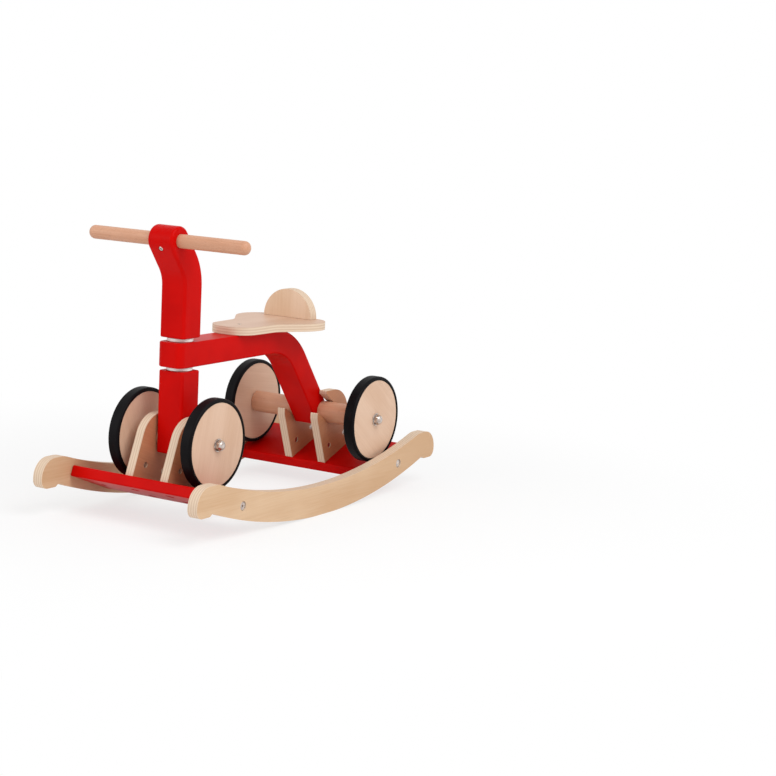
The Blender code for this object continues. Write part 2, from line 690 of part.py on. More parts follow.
def make_steering():
    """Everything that turns with the handlebar, under an empty on the steering axis."""
    steering = pivot("steering_axis", (0, FRONT_AXLE, BEAM_BOTTOM + BEAM_DEPTH / 2))

    post = plate("handlebar_post", post_outline(), POST_WIDTH, parts, parent=steering)

    def along_post(middle, direction):
        return abs(abs(middle.z) - HALF_POST) < GAP and middle.y > POST_FOOT + GAP

    round_edges(post, along_post, EDGE_ROUNDING)
    soften(post, RIM_ROUNDING)
    drill(
        post, SPINDLE_RADIUS + GAP, (0, FRONT_AXLE, POST_FOOT - BEAM_DEPTH),
        (0, FRONT_AXLE, POST_FOOT + SPINDLE_IN_POST + HOLE_SLACK),
    )
    drill(post, BAR_RADIUS + GAP, (-POST_WIDTH, BAR_Y, BAR_Z), (POST_WIDTH, BAR_Y, BAR_Z), ROUND_FLATS)
    bar_centre = Vector((0, BAR_Y, BAR_Z))
    forward = Vector((0, -math.cos(LEAN), -math.sin(LEAN)))
    seat_of_head = bar_centre + forward * (POST_DEPTH / 2 - WOODSCREW_HEAD_HEIGHT - GAP)
    tip = bar_centre - forward * BAR_SCREW_PAST_CENTRE
    outside = bar_centre + forward * POST_DEPTH
    drill(post, WOODSCREW_BORE, bar_centre, outside, BOLT_FLATS)
    drill(post, WOODSCREW_HEAD_RADIUS + GAP, seat_of_head - forward * GAP, outside, BOLT_FLATS)
    smooth(post)
    paint(post, "red_paint")

    half = BAR_LENGTH / 2
    rounding = []
    for degrees in (0, 30, 60, 90):
        a = math.radians(degrees)
        radius = BAR_RADIUS - BAR_END_ROUNDING * (1 - math.sin(a))
        rounding.append((radius, half - BAR_END_ROUNDING * (1 - math.cos(a))))
    profile = [(0, half), *rounding, *[(radius, -z) for radius, z in reversed(rounding)], (0, -half)]
    bar = turned("handlebar", profile, ROUND_FLATS, parts, (0, BAR_Y, BAR_Z), SIDEWAYS, steering, ring=False)
    drill(bar, WOODSCREW_BORE, tip - forward * HOLE_SLACK, outside, BOLT_FLATS)
    paint(bar, "beech")

    length = (seat_of_head - tip).length
    screw = bolt_mesh(
        "handlebar_screw", WOODSCREW_RADIUS, WOODSCREW_HEAD_RADIUS, WOODSCREW_HEAD_HEIGHT, length
    )
    fastener("handlebar_screw", screw, seated(seat_of_head, -forward), steering)

    foot = AXLE_HEIGHT - LEG_BELOW_AXLE
    place = (0, FRONT_AXLE, foot + FRONT_LEG_LENGTH / 2)
    leg = box("front_leg", (POST_WIDTH, POST_DEPTH, FRONT_LEG_LENGTH), parts, place)
    leg.parent = steering
    leg.location -= steering.location
    round_edges(leg, lambda middle, direction: abs(direction.z) > 0.9, EDGE_ROUNDING)
    soften(leg, RIM_ROUNDING)
    drill(leg, AXLE_BORE, (-POST_WIDTH, FRONT_AXLE, AXLE_HEIGHT), (POST_WIDTH, FRONT_AXLE, AXLE_HEIGHT))
    drill(
        leg, SPINDLE_RADIUS + GAP, (0, FRONT_AXLE, LEG_TOP - SPINDLE_IN_LEG - HOLE_SLACK),
        (0, FRONT_AXLE, LEG_TOP + BEAM_DEPTH),
    )
    smooth(leg)
    paint(leg, "red_paint")

    spindle = rod(
        "steering_spindle", SPINDLE_RADIUS, (0, FRONT_AXLE, LEG_TOP - SPINDLE_IN_LEG),
        (0, FRONT_AXLE, POST_FOOT + SPINDLE_IN_POST), parts, parent=steering,
    )
    smooth(spindle)
    paint(spindle, "zinc")

    profile = sleeve(SPINDLE_RADIUS + GAP, STEERING_DISC_RADIUS, STEERING_DISC_THICKNESS / 2)
    for name, bottom in (("lower_steering_disc", LEG_TOP + GAP), ("upper_steering_disc", BEAM_TOP + GAP)):
        place = (0, FRONT_AXLE, bottom + STEERING_DISC_THICKNESS / 2)
        disc = turned(name, profile, WHEEL_FLATS, parts, place, parent=steering)
        paint(disc, "nylon")
    return steering


def disc_profile():
    """Profile of a wheel disc with a groove in its rim for the tyre's rib."""
    half = DISC_THICKNESS / 2
    bore = HUB_BUSH_RADIUS + GAP
    floor = DISC_RADIUS - GROOVE_DEPTH
    upper = [
        (bore, half), (DISC_RADIUS - DISC_CHAMFER, half), (DISC_RADIUS, half - DISC_CHAMFER),
        (DISC_RADIUS, GROOVE_WIDTH / 2), (floor, GROOVE_WIDTH / 2),
    ]
    return upper + [(radius, -height) for radius, height in reversed(upper)]


def tyre_profile():
    """Profile of the rubber tyre: a rounded tread outside, a rib inside."""
    half = TYRE_WIDTH / 2
    inner = DISC_RADIUS + GAP
    rib = DISC_RADIUS - GROOVE_DEPTH + GAP
    rib_half = GROOVE_WIDTH / 2 - GAP
    outer = [(inner, half)]
    for angle in (0, 45, 90):
        a = math.radians(angle)
        radius = TYRE_RADIUS - TREAD_ROUNDING * (1 - math.sin(a))
        outer.append((radius, half - TREAD_ROUNDING * (1 - math.cos(a))))
    outer += [(radius, -height) for radius, height in reversed(outer)]
    return outer + [(inner, -rib_half), (rib, -rib_half), (rib, rib_half), (inner, rib_half)]


def wheel_x(spacer_length):
    """How far out a wheel's middle lies: the spacer, then the disc."""
    return HALF_POST + spacer_length + 2 * GAP + DISC_THICKNESS / 2


def make_wheel(end, side, spacer_length, parent):
    """A plywood disc with its hub bush and tyre, under an empty on the wheel's axis."""
    name = f"{end}_{side}"
    place = (SIDES[side] * wheel_x(spacer_length), ENDS[end] * WHEELBASE / 2, AXLE_HEIGHT)
    hub = pivot(f"{name}_wheel_axis", place, parent)
    disc = turned(f"{name}_wheel_disc", disc_profile(), WHEEL_FLATS, parts)
    tyre = turned(f"{name}_tyre", tyre_profile(), WHEEL_FLATS, parts)
    bore = sleeve(AXLE_BORE, HUB_BUSH_RADIUS, DISC_THICKNESS / 2)
    bush = turned(f"{name}_hub_bush", bore, SHAFT_FLATS, parts)
    for item, finish in ((disc, "birch"), (tyre, "rubber"), (bush, "nylon")):
        item.parent = hub
        item.rotation_euler = SIDEWAYS
        paint(item, finish)


def make_axle(end, spacer_length, parent):
    """A steel rod with spacers, washers and cap nuts, the same to both sides."""
    y = ENDS[end] * WHEELBASE / 2
    washer_at = wheel_x(spacer_length) + DISC_THICKNESS / 2 + GAP
    nut_at = washer_at + WASHER_THICKNESS + GAP
    reach = nut_at + NUT_HEIGHT

    tips = ((-reach, y, AXLE_HEIGHT), (reach, y, AXLE_HEIGHT))
    axle = rod(f"{end}_axle", AXLE_RADIUS, *tips, parts, parent=parent)
    smooth(axle)
    paint(axle, "zinc")

    for side, sign in SIDES.items():
        place = (sign * (HALF_POST + GAP + spacer_length / 2), y, AXLE_HEIGHT)
        profile = sleeve(AXLE_BORE, SPACER_RADIUS, spacer_length / 2)
        spacer = turned(f"{end}_spacer_{side}", profile, ROUND_FLATS, parts, place, SIDEWAYS, parent)
        paint(spacer, "beech")

    nut = cap_nut_mesh(f"{end}_axle_nut")
    for side, sign in SIDES.items():
        place = (sign * (washer_at + WASHER_THICKNESS / 2), y, AXLE_HEIGHT)
        profile = sleeve(AXLE_BORE, WASHER_RADIUS, WASHER_THICKNESS / 2)
        washer = turned(f"{end}_washer_{side}", profile, SHAFT_FLATS, parts, place, SIDEWAYS, parent)
        paint(washer, "zinc")
        outward = Matrix.Rotation(sign * math.radians(90), 4, "Y")
        place = Matrix.Translation((sign * nut_at, y, AXLE_HEIGHT))
        fastener(f"{end}_cap_nut_{side}", nut, place @ outward, parent)


def cap_nut_mesh(name):
    """A domed hexagon nut that stands on its open end and closes over the axle's end."""
    nut = put(name, cylinder_mesh(NUT_RADIUS, NUT_HEIGHT, 6), cutters)
    nut.data.transform(Matrix.Translation((0, 0, NUT_HEIGHT / 2)))
    cap = [(0, NUT_HEIGHT + CAP_HEIGHT)]
    for degrees in (30, 60, 90):
        angle = math.radians(degrees)
        cap.append((CAP_RADIUS * math.sin(angle), NUT_HEIGHT + CAP_HEIGHT * math.cos(angle)))
    cap += [(CAP_RADIUS, NUT_HEIGHT / 2), (0, NUT_HEIGHT / 2)]
    join(nut, turned(name + "_dome", cap, BOLT_FLATS, cutters, ring=False))
    drill(nut, AXLE_BORE, (0, 0, -NUT_HEIGHT), (0, 0, NUT_HEIGHT + HOLE_SLACK))
    paint(nut, "zinc")
    return evaluated(nut)


def rocker_outline():
    """One half of a rocker from its bottom, round its head and back along its top, then the same mirrored."""
    foot_start = ROCKER_HALF_LENGTH - FOOT_LENGTH
    notch = foot_start - NOTCH_LENGTH
    foot_bottom = rocker_bottom(notch) - FOOT_STEP
    below = [ROCKER_FLAT / 2 + (notch - ROCKER_FLAT / 2) * k / 7 for k in range(7)]
    shoulder = ROCKER_HALF_LENGTH - HEAD_LENGTH
    head_top = rocker_top(shoulder)
    above = [shoulder * k / 8 for k in range(7, 0, -1)]
    half = [
        *[(y, rocker_bottom(y), 0) for y in below],
        (notch, rocker_bottom(notch), NOTCH_RADIUS),
        (foot_start, foot_bottom, NOTCH_RADIUS),
        (ROCKER_HALF_LENGTH, foot_bottom, FOOT_RADIUS),
        (ROCKER_HALF_LENGTH, head_top, HEAD_RADIUS),
        (shoulder, head_top, HEAD_BLEND),
        *[(y, rocker_top(y), 0) for y in above],
    ]
    other = [(-y, z, radius) for y, z, radius in reversed(half)]
    return rounded([*half, (0, ROCKER_MIDDLE, 0), *other])


def dowel_outs():
    return (-DOWEL_SPACING / 2, DOWEL_SPACING / 2)


def make_rockers():
    inner_face = ROCKER_GAUGE / 2
    outer_face = inner_face + ROCKER_THICKNESS
    head_seat = outer_face - BOLT_HEAD_HEIGHT - GAP
    for side, sign in SIDES.items():
        rocker = plate(f"rocker_{side}", rocker_outline(), ROCKER_THICKNESS, parts, (sign * ROCKER_X, 0, 0))
        soften(rocker, ROCKER_ROUNDING)
        for end in ENDS.values():
            outside = on_board(end, sign * (outer_face + ROCKER_THICKNESS), 0, 0)
            drill(rocker, BOLT_BORE, on_board(end, 0, 0, 0), outside, BOLT_FLATS)
            bottom = on_board(end, sign * (head_seat - GAP), 0, 0)
            drill(rocker, BOLT_HEAD_RADIUS + GAP, bottom, outside, BARREL_FLATS)
            for out in dowel_outs():
                bottom = on_board(end, sign * (inner_face + DOWEL_IN_ROCKER + HOLE_SLACK), out, 0)
                drill(rocker, DOWEL_RADIUS + GAP, on_board(end, 0, out, 0), bottom, BOLT_FLATS)
        smooth(rocker)
        paint(rocker, "birch")

    barrel = BOARD_HALF_LENGTH - BOARD_BARREL_INSET
    length = head_seat - barrel + BARREL_RADIUS + BOLT_PAST_BARREL
    screw = bolt_mesh(
        "rocker_screw", BOLT_RADIUS, BOLT_HEAD_RADIUS, BOLT_HEAD_HEIGHT, length,
        BOARD_BARREL_LENGTH, head_seat - barrel,
    )
    for name, end in ENDS.items():
        for side, sign in SIDES.items():
            place = seated(on_board(end, sign * head_seat, 0, 0), (-sign, 0, 0), board_normal(end))
            fastener(f"{name}_rocker_screw_{side}", screw, place)


def make_boards():
    """The red boards that join the rockers and carry the cradles."""
    for name, end in ENDS.items():
        place = on_board(end, 0, 0, 0)
        size = (2 * BOARD_HALF_LENGTH, BOARD_WIDTH, BOARD_THICKNESS)
        board = box(f"{name}_board", size, parts, place, (end * TILT, 0, 0))
        soften(board, RIM_ROUNDING)
        for sign in SIDES.values():
            for out in dowel_outs():
                start = on_board(end, sign * (BOARD_HALF_LENGTH - DOWEL_IN_BOARD), out, 0)
                tip = on_board(end, sign * (ROCKER_GAUGE / 2 + DOWEL_IN_ROCKER), out, 0)
                join(board, rod(f"{name}_dowel", DOWEL_RADIUS, start, tip, cutters, BOLT_FLATS))
            outside = sign * (BOARD_HALF_LENGTH + ROCKER_THICKNESS)
            barrel = sign * (BOARD_HALF_LENGTH - BOARD_BARREL_INSET)
            bottom = barrel - sign * (BARREL_RADIUS + BOLT_PAST_BARREL + HOLE_SLACK)
            drill(board, BOLT_BORE, on_board(end, bottom, 0, 0), on_board(end, outside, 0, 0), BOLT_FLATS)
            top = BOARD_BARREL_LENGTH / 2 + GAP
            mouth = on_board(end, barrel, 0, -BOARD_THICKNESS)
            drill(board, BARREL_RADIUS + GAP, mouth, on_board(end, barrel, 0, top))
            for out in cradle_bolt_outs():
                x = sign * CRADLE_AT
                below = on_board(end, x, out, -BOARD_THICKNESS)
                drill(board, BOLT_BORE, below, on_board(end, x, out, BOARD_THICKNESS), BOLT_FLATS)
        smooth(board)
        paint(board, "red_paint")


def cradle_bolt_outs():
    return (CRADLE_BOLT_SHIFT - CRADLE_BOLT_SPACING / 2, CRADLE_BOLT_SHIFT + CRADLE_BOLT_SPACING / 2)


def cradle_outline(end, play):
    """A hooked plate: its foot follows the board, its slot opens upward to the middle of the base."""
    foot = BOARD_THICKNESS / 2 + GAP
    inner = on_board(end, 0, CRADLE_INNER_INSET - BOARD_WIDTH / 2, foot)
    outer = on_board(end, 0, BOARD_WIDTH / 2 - CRADLE_OUTER_INSET, foot)
    slot = SPACER_RADIUS + play
    angle = math.radians(CRADLE_SLOT_ANGLE)
    opening = Vector((-math.cos(angle), math.sin(angle)))
    across = Vector((opening.y, -opening.x))
    axle = Vector((REAR_AXLE, AXLE_HEIGHT))
    closed_end = axle - opening * slot
    tip_y = REAR_AXLE - CRADLE_TIP_AT
    horn_y = REAR_AXLE - HORN_AT
    upper = axle + across * slot
    lower = axle - across * slot
    tip = upper + opening * (upper.x - tip_y) / -opening.x
    horn = lower + opening * (lower.x - horn_y) / -opening.x
    back = Vector((REAR_AXLE + CRADLE_BACK_AT, AXLE_HEIGHT - CRADLE_BACK_DROP))
    heel = Vector((abs(outer.y), outer.z))
    spread = (heel - back).length
    lean = math.atan2(heel.y - back.y, heel.x - back.x) + math.acos(CRADLE_BACK_RADIUS / spread)
    steps = math.ceil((90 - math.degrees(lean)) / ARC_STEP)
    arc = []
    for k in range(steps + 1):
        a = lean + (math.pi / 2 - lean) * k / steps
        arc.append(back + CRADLE_BACK_RADIUS * Vector((math.cos(a), math.sin(a))))
    corners = [
        (abs(inner.y), inner.z, 0),
        (heel.x, heel.y, 0),
        *sharp(arc),
        (tip.x, arc[-1].y, CRADLE_TIP_ROUNDING),
        (tip.x, tip.y, CRADLE_TIP_ROUNDING),
        (*(closed_end + across * slot), slot),
        (*(closed_end - across * slot), slot),
        (horn.x, horn.y, CRADLE_TIP_ROUNDING),
        (horn.x, horn.y - HORN_DROP, HORN_ROUNDING),
    ]
    return [(end * y, z) for y, z in rounded(corners)]


def make_cradles():
    """Four hooked plates, two on each board, bolted from under the boards."""
    top = BOARD_THICKNESS / 2
    barrel_up = top + CRADLE_BARREL_HEIGHT
    shank_end = barrel_up + BARREL_RADIUS + BOLT_PAST_BARREL
    bolt = bolt_mesh(
        "cradle_bolt", BOLT_RADIUS, BOLT_HEAD_RADIUS, BOLT_HEAD_HEIGHT, shank_end + top + GAP,
        CRADLE_THICKNESS, barrel_up + top + GAP,
    )
    for name, end in ENDS.items():
        for side, sign in SIDES.items():
            x = sign * CRADLE_AT
            outline = cradle_outline(end, SLOT_PLAY[name])
            cradle = plate(f"{name}_cradle_{side}", outline, CRADLE_THICKNESS, parts, (x, 0, 0))
            soften(cradle, CRADLE_CHAMFER, 1)
            for out in cradle_bolt_outs():
                middle = on_board(end, x, out, barrel_up)
                across = Vector((CRADLE_THICKNESS, 0, 0))
                drill(cradle, BARREL_RADIUS + GAP, middle - across, middle + across)
                hole_end = on_board(end, x, out, shank_end + HOLE_SLACK)
                drill(cradle, BOLT_BORE, on_board(end, x, out, 0), hole_end, BOLT_FLATS)
                place = seated(on_board(end, x, out, -top - GAP), board_normal(end))
                which = "inner" if out < CRADLE_BOLT_SHIFT else "outer"
                fastener(f"{name}_cradle_bolt_{side}_{which}", bolt, place)
            smooth(cradle)
            paint(cradle, "birch")


clear_scene()
parts = new_collection("rocking_ride_on_toy")
cutters = new_collection("cutters")
make_rockers()
make_boards()
make_cradles()
make_frame()
make_seat()
make_backrest()
steering_axis = make_steering()
make_axle("rear", REAR_SPACER_LENGTH, None)
make_axle("front", FRONT_SPACER_LENGTH, steering_axis)
for wheel_side in SIDES:
    make_wheel("rear", wheel_side, REAR_SPACER_LENGTH, None)
    make_wheel("front", wheel_side, FRONT_SPACER_LENGTH, steering_axis)
bpy.context.view_layer.update()
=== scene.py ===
"""Finished shapes and surfaces of a wooden rocking ride-on toy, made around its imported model.

X runs to the rider's left, -Y to the front and Z up, in metres. Outlines in the side view are pairs of
(distance along Y, height), and each operator makes one group of like pieces.
"""

import math

import bmesh
import bpy
from bpy.props import FloatProperty, FloatVectorProperty, IntProperty, PointerProperty
from bpy.types import Operator, Panel, PropertyGroup
from mathutils import Matrix, Vector


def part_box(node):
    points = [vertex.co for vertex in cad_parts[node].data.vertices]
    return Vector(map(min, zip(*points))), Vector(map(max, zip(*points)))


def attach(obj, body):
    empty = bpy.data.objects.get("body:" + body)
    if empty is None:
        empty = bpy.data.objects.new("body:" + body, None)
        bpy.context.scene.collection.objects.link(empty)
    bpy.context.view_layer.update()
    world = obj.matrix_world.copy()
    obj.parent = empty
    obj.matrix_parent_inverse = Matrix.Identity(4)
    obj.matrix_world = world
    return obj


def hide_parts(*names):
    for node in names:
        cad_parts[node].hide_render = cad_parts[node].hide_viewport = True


bl_info = {
    "name": "Rocking Ride-On Toy",
    "version": (1, 0, 0),
    "blender": (4, 5, 0),
    "location": "View3D > Sidebar > Ride-On",
    "description": "Makes the finished shapes and surfaces of a wooden rocking ride-on toy",
    "category": "Add Mesh",
}

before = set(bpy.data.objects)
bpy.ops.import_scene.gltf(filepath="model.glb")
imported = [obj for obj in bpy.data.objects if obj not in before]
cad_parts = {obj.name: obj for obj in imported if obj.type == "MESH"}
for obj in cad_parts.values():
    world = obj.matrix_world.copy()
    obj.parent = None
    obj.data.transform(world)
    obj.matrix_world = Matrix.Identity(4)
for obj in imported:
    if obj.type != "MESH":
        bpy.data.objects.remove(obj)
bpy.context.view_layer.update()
ENDS = {"front": -1, "rear": 1}
SIDES = {"left": 1, "right": -1}
PAIR = ("inner", "outer")
ACROSS, ALONG, UP = Vector((1, 0, 0)), Vector((0, 1, 0)), Vector((0, 0, 1))
CLEARANCE = 0.0003
SAME_PLACE = 1e-6
SAME_LEVEL = 1e-5
FLAT_ENOUGH = math.radians(0.1)
SHARP_EDGE = math.radians(40)
CREASE = math.radians(32)
CAP_NUT_TURNS = {"left": 0.4, "right": 1.4}  # in radians
FIRST_WHEEL_GRAIN, NEXT_WHEEL_GRAIN = 78, 31  # in degrees, the second added from wheel to wheel
CAMERA_PLACE = Vector((1.9408, -2.7358, 0.7474))
LAMP_AIM = Vector((0, 0, 0.2))
SENSOR_WIDTH = 36.0
WHITE = (1.0, 1.0, 1.0, 1.0)
SIDE_VIEW = Matrix(((0, 0, 1, 0), (1, 0, 0, 0), (0, 1, 0, 0), (0, 0, 0, 1)))


def middle_of(node):
    low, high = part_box(node)
    return (low + high) / 2


def size_of(node):
    low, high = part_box(node)
    return high - low


def spread(first, last, steps):
    """Even steps from first to last, with both of them."""
    return [first + (last - first) * k / steps for k in range(steps + 1)]


def round_points(centre, radius, turns):
    """The points of an arc at the given turns."""
    return [(centre[0] + radius * math.cos(turn), centre[1] + radius * math.sin(turn)) for turn in turns]


def lies_along(direction, axis):
    """Whether a unit direction lies along X, Y or Z, as axis 0, 1 or 2."""
    return abs(direction[axis]) > 0.9


# Settings

def length(name, description, value):
    return FloatProperty(name=name, description=description, default=value, unit="LENGTH", precision=4)


def angle(name, description, degrees):
    turn = math.radians(degrees)
    return FloatProperty(name=name, description=description, default=turn, subtype="ANGLE")


def factor(name, description, value, high=1.0):
    return FloatProperty(name=name, description=description, default=value, min=0.0, max=high)


def power(name, description, watts):
    return FloatProperty(name=name, description=description, default=watts, unit="POWER")


def colour(name, description, value):
    return FloatVectorProperty(
        name=name, description=description, default=value, subtype="COLOR", size=3, min=0.0, max=1.0
    )


class DetailSettings(PropertyGroup):
    arc_step: angle("Arc step", "Angle of a rounded outline that one flat takes", 4.0)
    rim_steps: IntProperty(name="Rim steps", description="Flats across a rounded rim", default=4)
    round_flats: IntProperty(name="Round flats", description="Flats round a turned piece", default=96)
    small_flats: IntProperty(name="Small flats", description="Flats round a fixing", default=32)
    rocker_steps: IntProperty(name="Rocker steps", description="Flats along half a rocker", default=24)


class FrameSettings(PropertyGroup):
    post_depth: length("Post depth", "Front to back of the handlebar post", 0.0460)
    post_lean: angle("Post lean", "Forward lean of the post's upper part", 36.0)
    post_corner: length("Post corner", "Height from the post's foot to its bend", 0.1040)
    post_bend: length("Post bend", "Radius of the post's bend on its centre line", 0.0700)
    beam_depth: length("Beam depth", "Depth of the beam and of the rear leg", 0.0403)
    beam_bend: length("Beam bend", "Radius of the beam's bend on its centre line", 0.1000)
    leg_angle: angle("Leg angle", "Slope of the rear leg below the horizontal", 53.2)
    axle_behind_leg: length("Axle behind leg", "From the rear leg's centre line to the axle", 0.0034)
    heel_radius: length("Heel radius", "Rounding of the rear leg's heel", 0.0140)
    edge_rounding: length("Edge rounding", "Rounding of the long edges of the post and front leg", 0.0050)
    nose_rounding: length("Nose rounding", "Rounding of the beam's upright front edges", 0.0125)
    rim_rounding: length("Rim rounding", "Rounding of the other painted edges", 0.0025)
    bar_rounding: length("Bar rounding", "Rounding of the handlebar's ends", 0.0095)
    bush_radius: length("Bush radius", "Radius of the bush in the beam's front end", 0.0090)
    disc_bore: length("Disc bore", "Radius of the hole in a steering disc", 0.0063)
    disc_rounding: length("Disc rounding", "Rounding of a steering disc's rim", 0.0012)


class SeatSettings(PropertyGroup):
    nose_half: length("Nose half width", "Half the seat's width at its nose", 0.0395)
    waist_half: length("Waist half width", "Half the seat's width at its waist", 0.0435)
    side: length("Side length", "From the seat's rear edge to its shoulder", 0.0570)
    flare: length("Flare length", "From the seat's shoulder to its waist", 0.0570)
    nose_radius: length("Nose radius", "Rounding of the seat's nose", 0.0360)
    waist_radius: length("Waist radius", "Rounding of the seat's waist", 0.0250)
    shoulder_radius: length("Shoulder radius", "Rounding of the seat's shoulders", 0.0600)
    corner_radius: length("Corner radius", "Rounding of the seat's rear corners", 0.0380)
    thickness: length("Seat thickness", "Thickness of the seat's plywood", 0.0130)
    rounding: length("Plywood rounding", "Rounding of the seat's and backrest's rims", 0.0040)


class BaseSettings(PropertyGroup):
    bottom_radius: length("Rocker radius", "Radius of the rockers' lower edge", 0.9400)
    top_radius: length("Rocker top radius", "Radius of the rockers' upper edge", 0.9740)
    flat: length("Rocker flat", "Length of the short flat at the middle", 0.0600)
    middle: length("Rocker depth", "Depth of a rocker at its middle", 0.0490)
    head_length: length("Head length", "From a rocker's end to where its head begins", 0.0527)
    head_radius: length("Head radius", "Rounding of a rocker's head", 0.0310)
    head_blend: length("Head blend", "Rounding between the head and the top edge", 0.0600)
    foot_length: length("Foot length", "Length of the stepped foot at a rocker's end", 0.0335)
    foot_step: length("Foot step", "How far the foot steps down from the round", 0.0043)
    foot_radius: length("Foot radius", "Rounding of the foot's outer corner", 0.0140)
    notch_length: length("Notch length", "Length of the slope from the round to the foot", 0.0060)
    notch_radius: length("Notch radius", "Rounding of both ends of that slope", 0.0040)
    rounding: length("Rocker rounding", "Rounding of the rockers' rims", 0.0050)
    board_tilt: angle("Board tilt", "Slope of the red boards", 20.8)
    board_width: length("Board width", "Width of a red board", 0.1050)
    board_thickness: length("Board thickness", "Thickness of a red board", 0.0180)
    board_rounding: length("Board rounding", "Rounding of the boards' edges", 0.0025)
    foot_inner: length("Cradle inner inset", "From a board's inner edge to a cradle's foot", 0.0025)
    foot_outer: length("Cradle outer inset", "From a board's outer edge to a cradle's foot", 0.0085)
    slot_angle: angle("Slot angle", "Slope of a cradle's slot above the horizontal", 33.5)
    slot_front: length("Front slot radius", "Half the width of the front cradles' slots", 0.0199)
    slot_rear: length("Rear slot radius", "Half the width of the rear cradles' slots", 0.0189)
    back_radius: length("Back radius", "Radius of a cradle's back", 0.0447)
    back_at: length("Back offset", "From the axle outward to the centre of that arc", 0.0093)
    back_drop: length("Back drop", "From the axle down to the centre of that arc", 0.0055)
    tip_at: length("Tip offset", "From the axle inward to a cradle's upper tip", 0.0157)
    tip_rounding: length("Tip rounding", "Rounding of a cradle's tips", 0.0020)
    horn_at: length("Horn offset", "From the axle inward to a cradle's lower horn", 0.0412)
    horn_drop: length("Horn drop", "Height of the horn's upright edge", 0.0120)
    horn_rounding: length("Horn rounding", "Rounding below the horn", 0.0150)
    cradle_rounding: length("Cradle rounding", "Rounding of a cradle's rims", 0.0010)


class WheelSettings(PropertyGroup):
    bore: length("Axle bore", "Radius of the holes that the axles pass", 0.0043)
    bush_radius: length("Hub bush radius", "Radius of the bush in a wheel's hub", 0.0065)
    disc_radius: length("Disc radius", "Radius of a plywood wheel disc", 0.0680)
    disc_rounding: length("Disc rounding", "Rounding of a disc's rims", 0.0012)
    tread_rounding: length("Tread rounding", "Rounding of the tyre's shoulders", 0.0038)
    lip_rounding: length("Lip rounding", "Rounding of the tyre's inner edges", 0.0007)
    tread_split: factor("Tread split", "Share of half the tread that its middle strip takes", 0.3)
    spacer_rounding: length("Spacer rounding", "Rounding of a spacer's ends", 0.0010)
    washer_rounding: length("Washer rounding", "Rounding of a washer's rims", 0.0003)
    nut_height: length("Nut height", "Height of a cap nut's hexagon", 0.0055)
    nut_radius: length("Nut radius", "Corner radius of a cap nut's hexagon", 0.0090)
    cap_radius: length("Cap radius", "Radius of a cap nut's dome", 0.0080)


class FixingSettings(PropertyGroup):
    bolt_head: length("Bolt head radius", "Radius of a bolt's head", 0.0070)
    bolt_head_height: length("Bolt head height", "Height of a bolt's head", 0.0030)
    bolt_shank: length("Bolt radius", "Radius of a bolt", 0.0030)
    bolt_socket: length("Bolt socket", "Corner radius of a bolt's hexagon socket", 0.0024)
    screw_head: length("Screw head radius", "Radius of a wood screw's head", 0.0040)
    screw_head_height: length("Screw head height", "Height of a wood screw's head", 0.0028)
    screw_shank: length("Screw radius", "Radius of a wood screw", 0.0022)
    cross_width: length("Cross width", "Width of a screw's cross recess", 0.0011)
    bolt_sink: length("Bolt sink", "From a rocker's face down to its bolt heads", 0.0012)
    board_sink: length("Board sink", "From a board's underside up to its bolt heads' ends", 0.0016)
    barrel_sink: length("Barrel sink", "From a cradle's face down to its barrel nuts", 0.0012)
    recess_depth: length("Recess depth", "Depth of a socket or cross recess", 0.0018)
    barrel_radius: length("Barrel nut radius", "Radius of a barrel nut", 0.0042)
    barrel_slot: length("Barrel slot", "Width and depth of the slot in a barrel nut's end", 0.0012)
    cradle_barrel: length("Cradle barrel depth", "From a cradle bolt's head to its barrel nut", 0.0428)
    rocker_barrel: length("Rocker barrel depth", "From a rocker screw's head to its barrel nut", 0.0450)
    board_barrel_length: length("Board barrel length", "Length of a barrel nut in a board", 0.0120)
    rim_gap: length("Hole gap", "Gap round a head or nut in its hole", 0.0006)


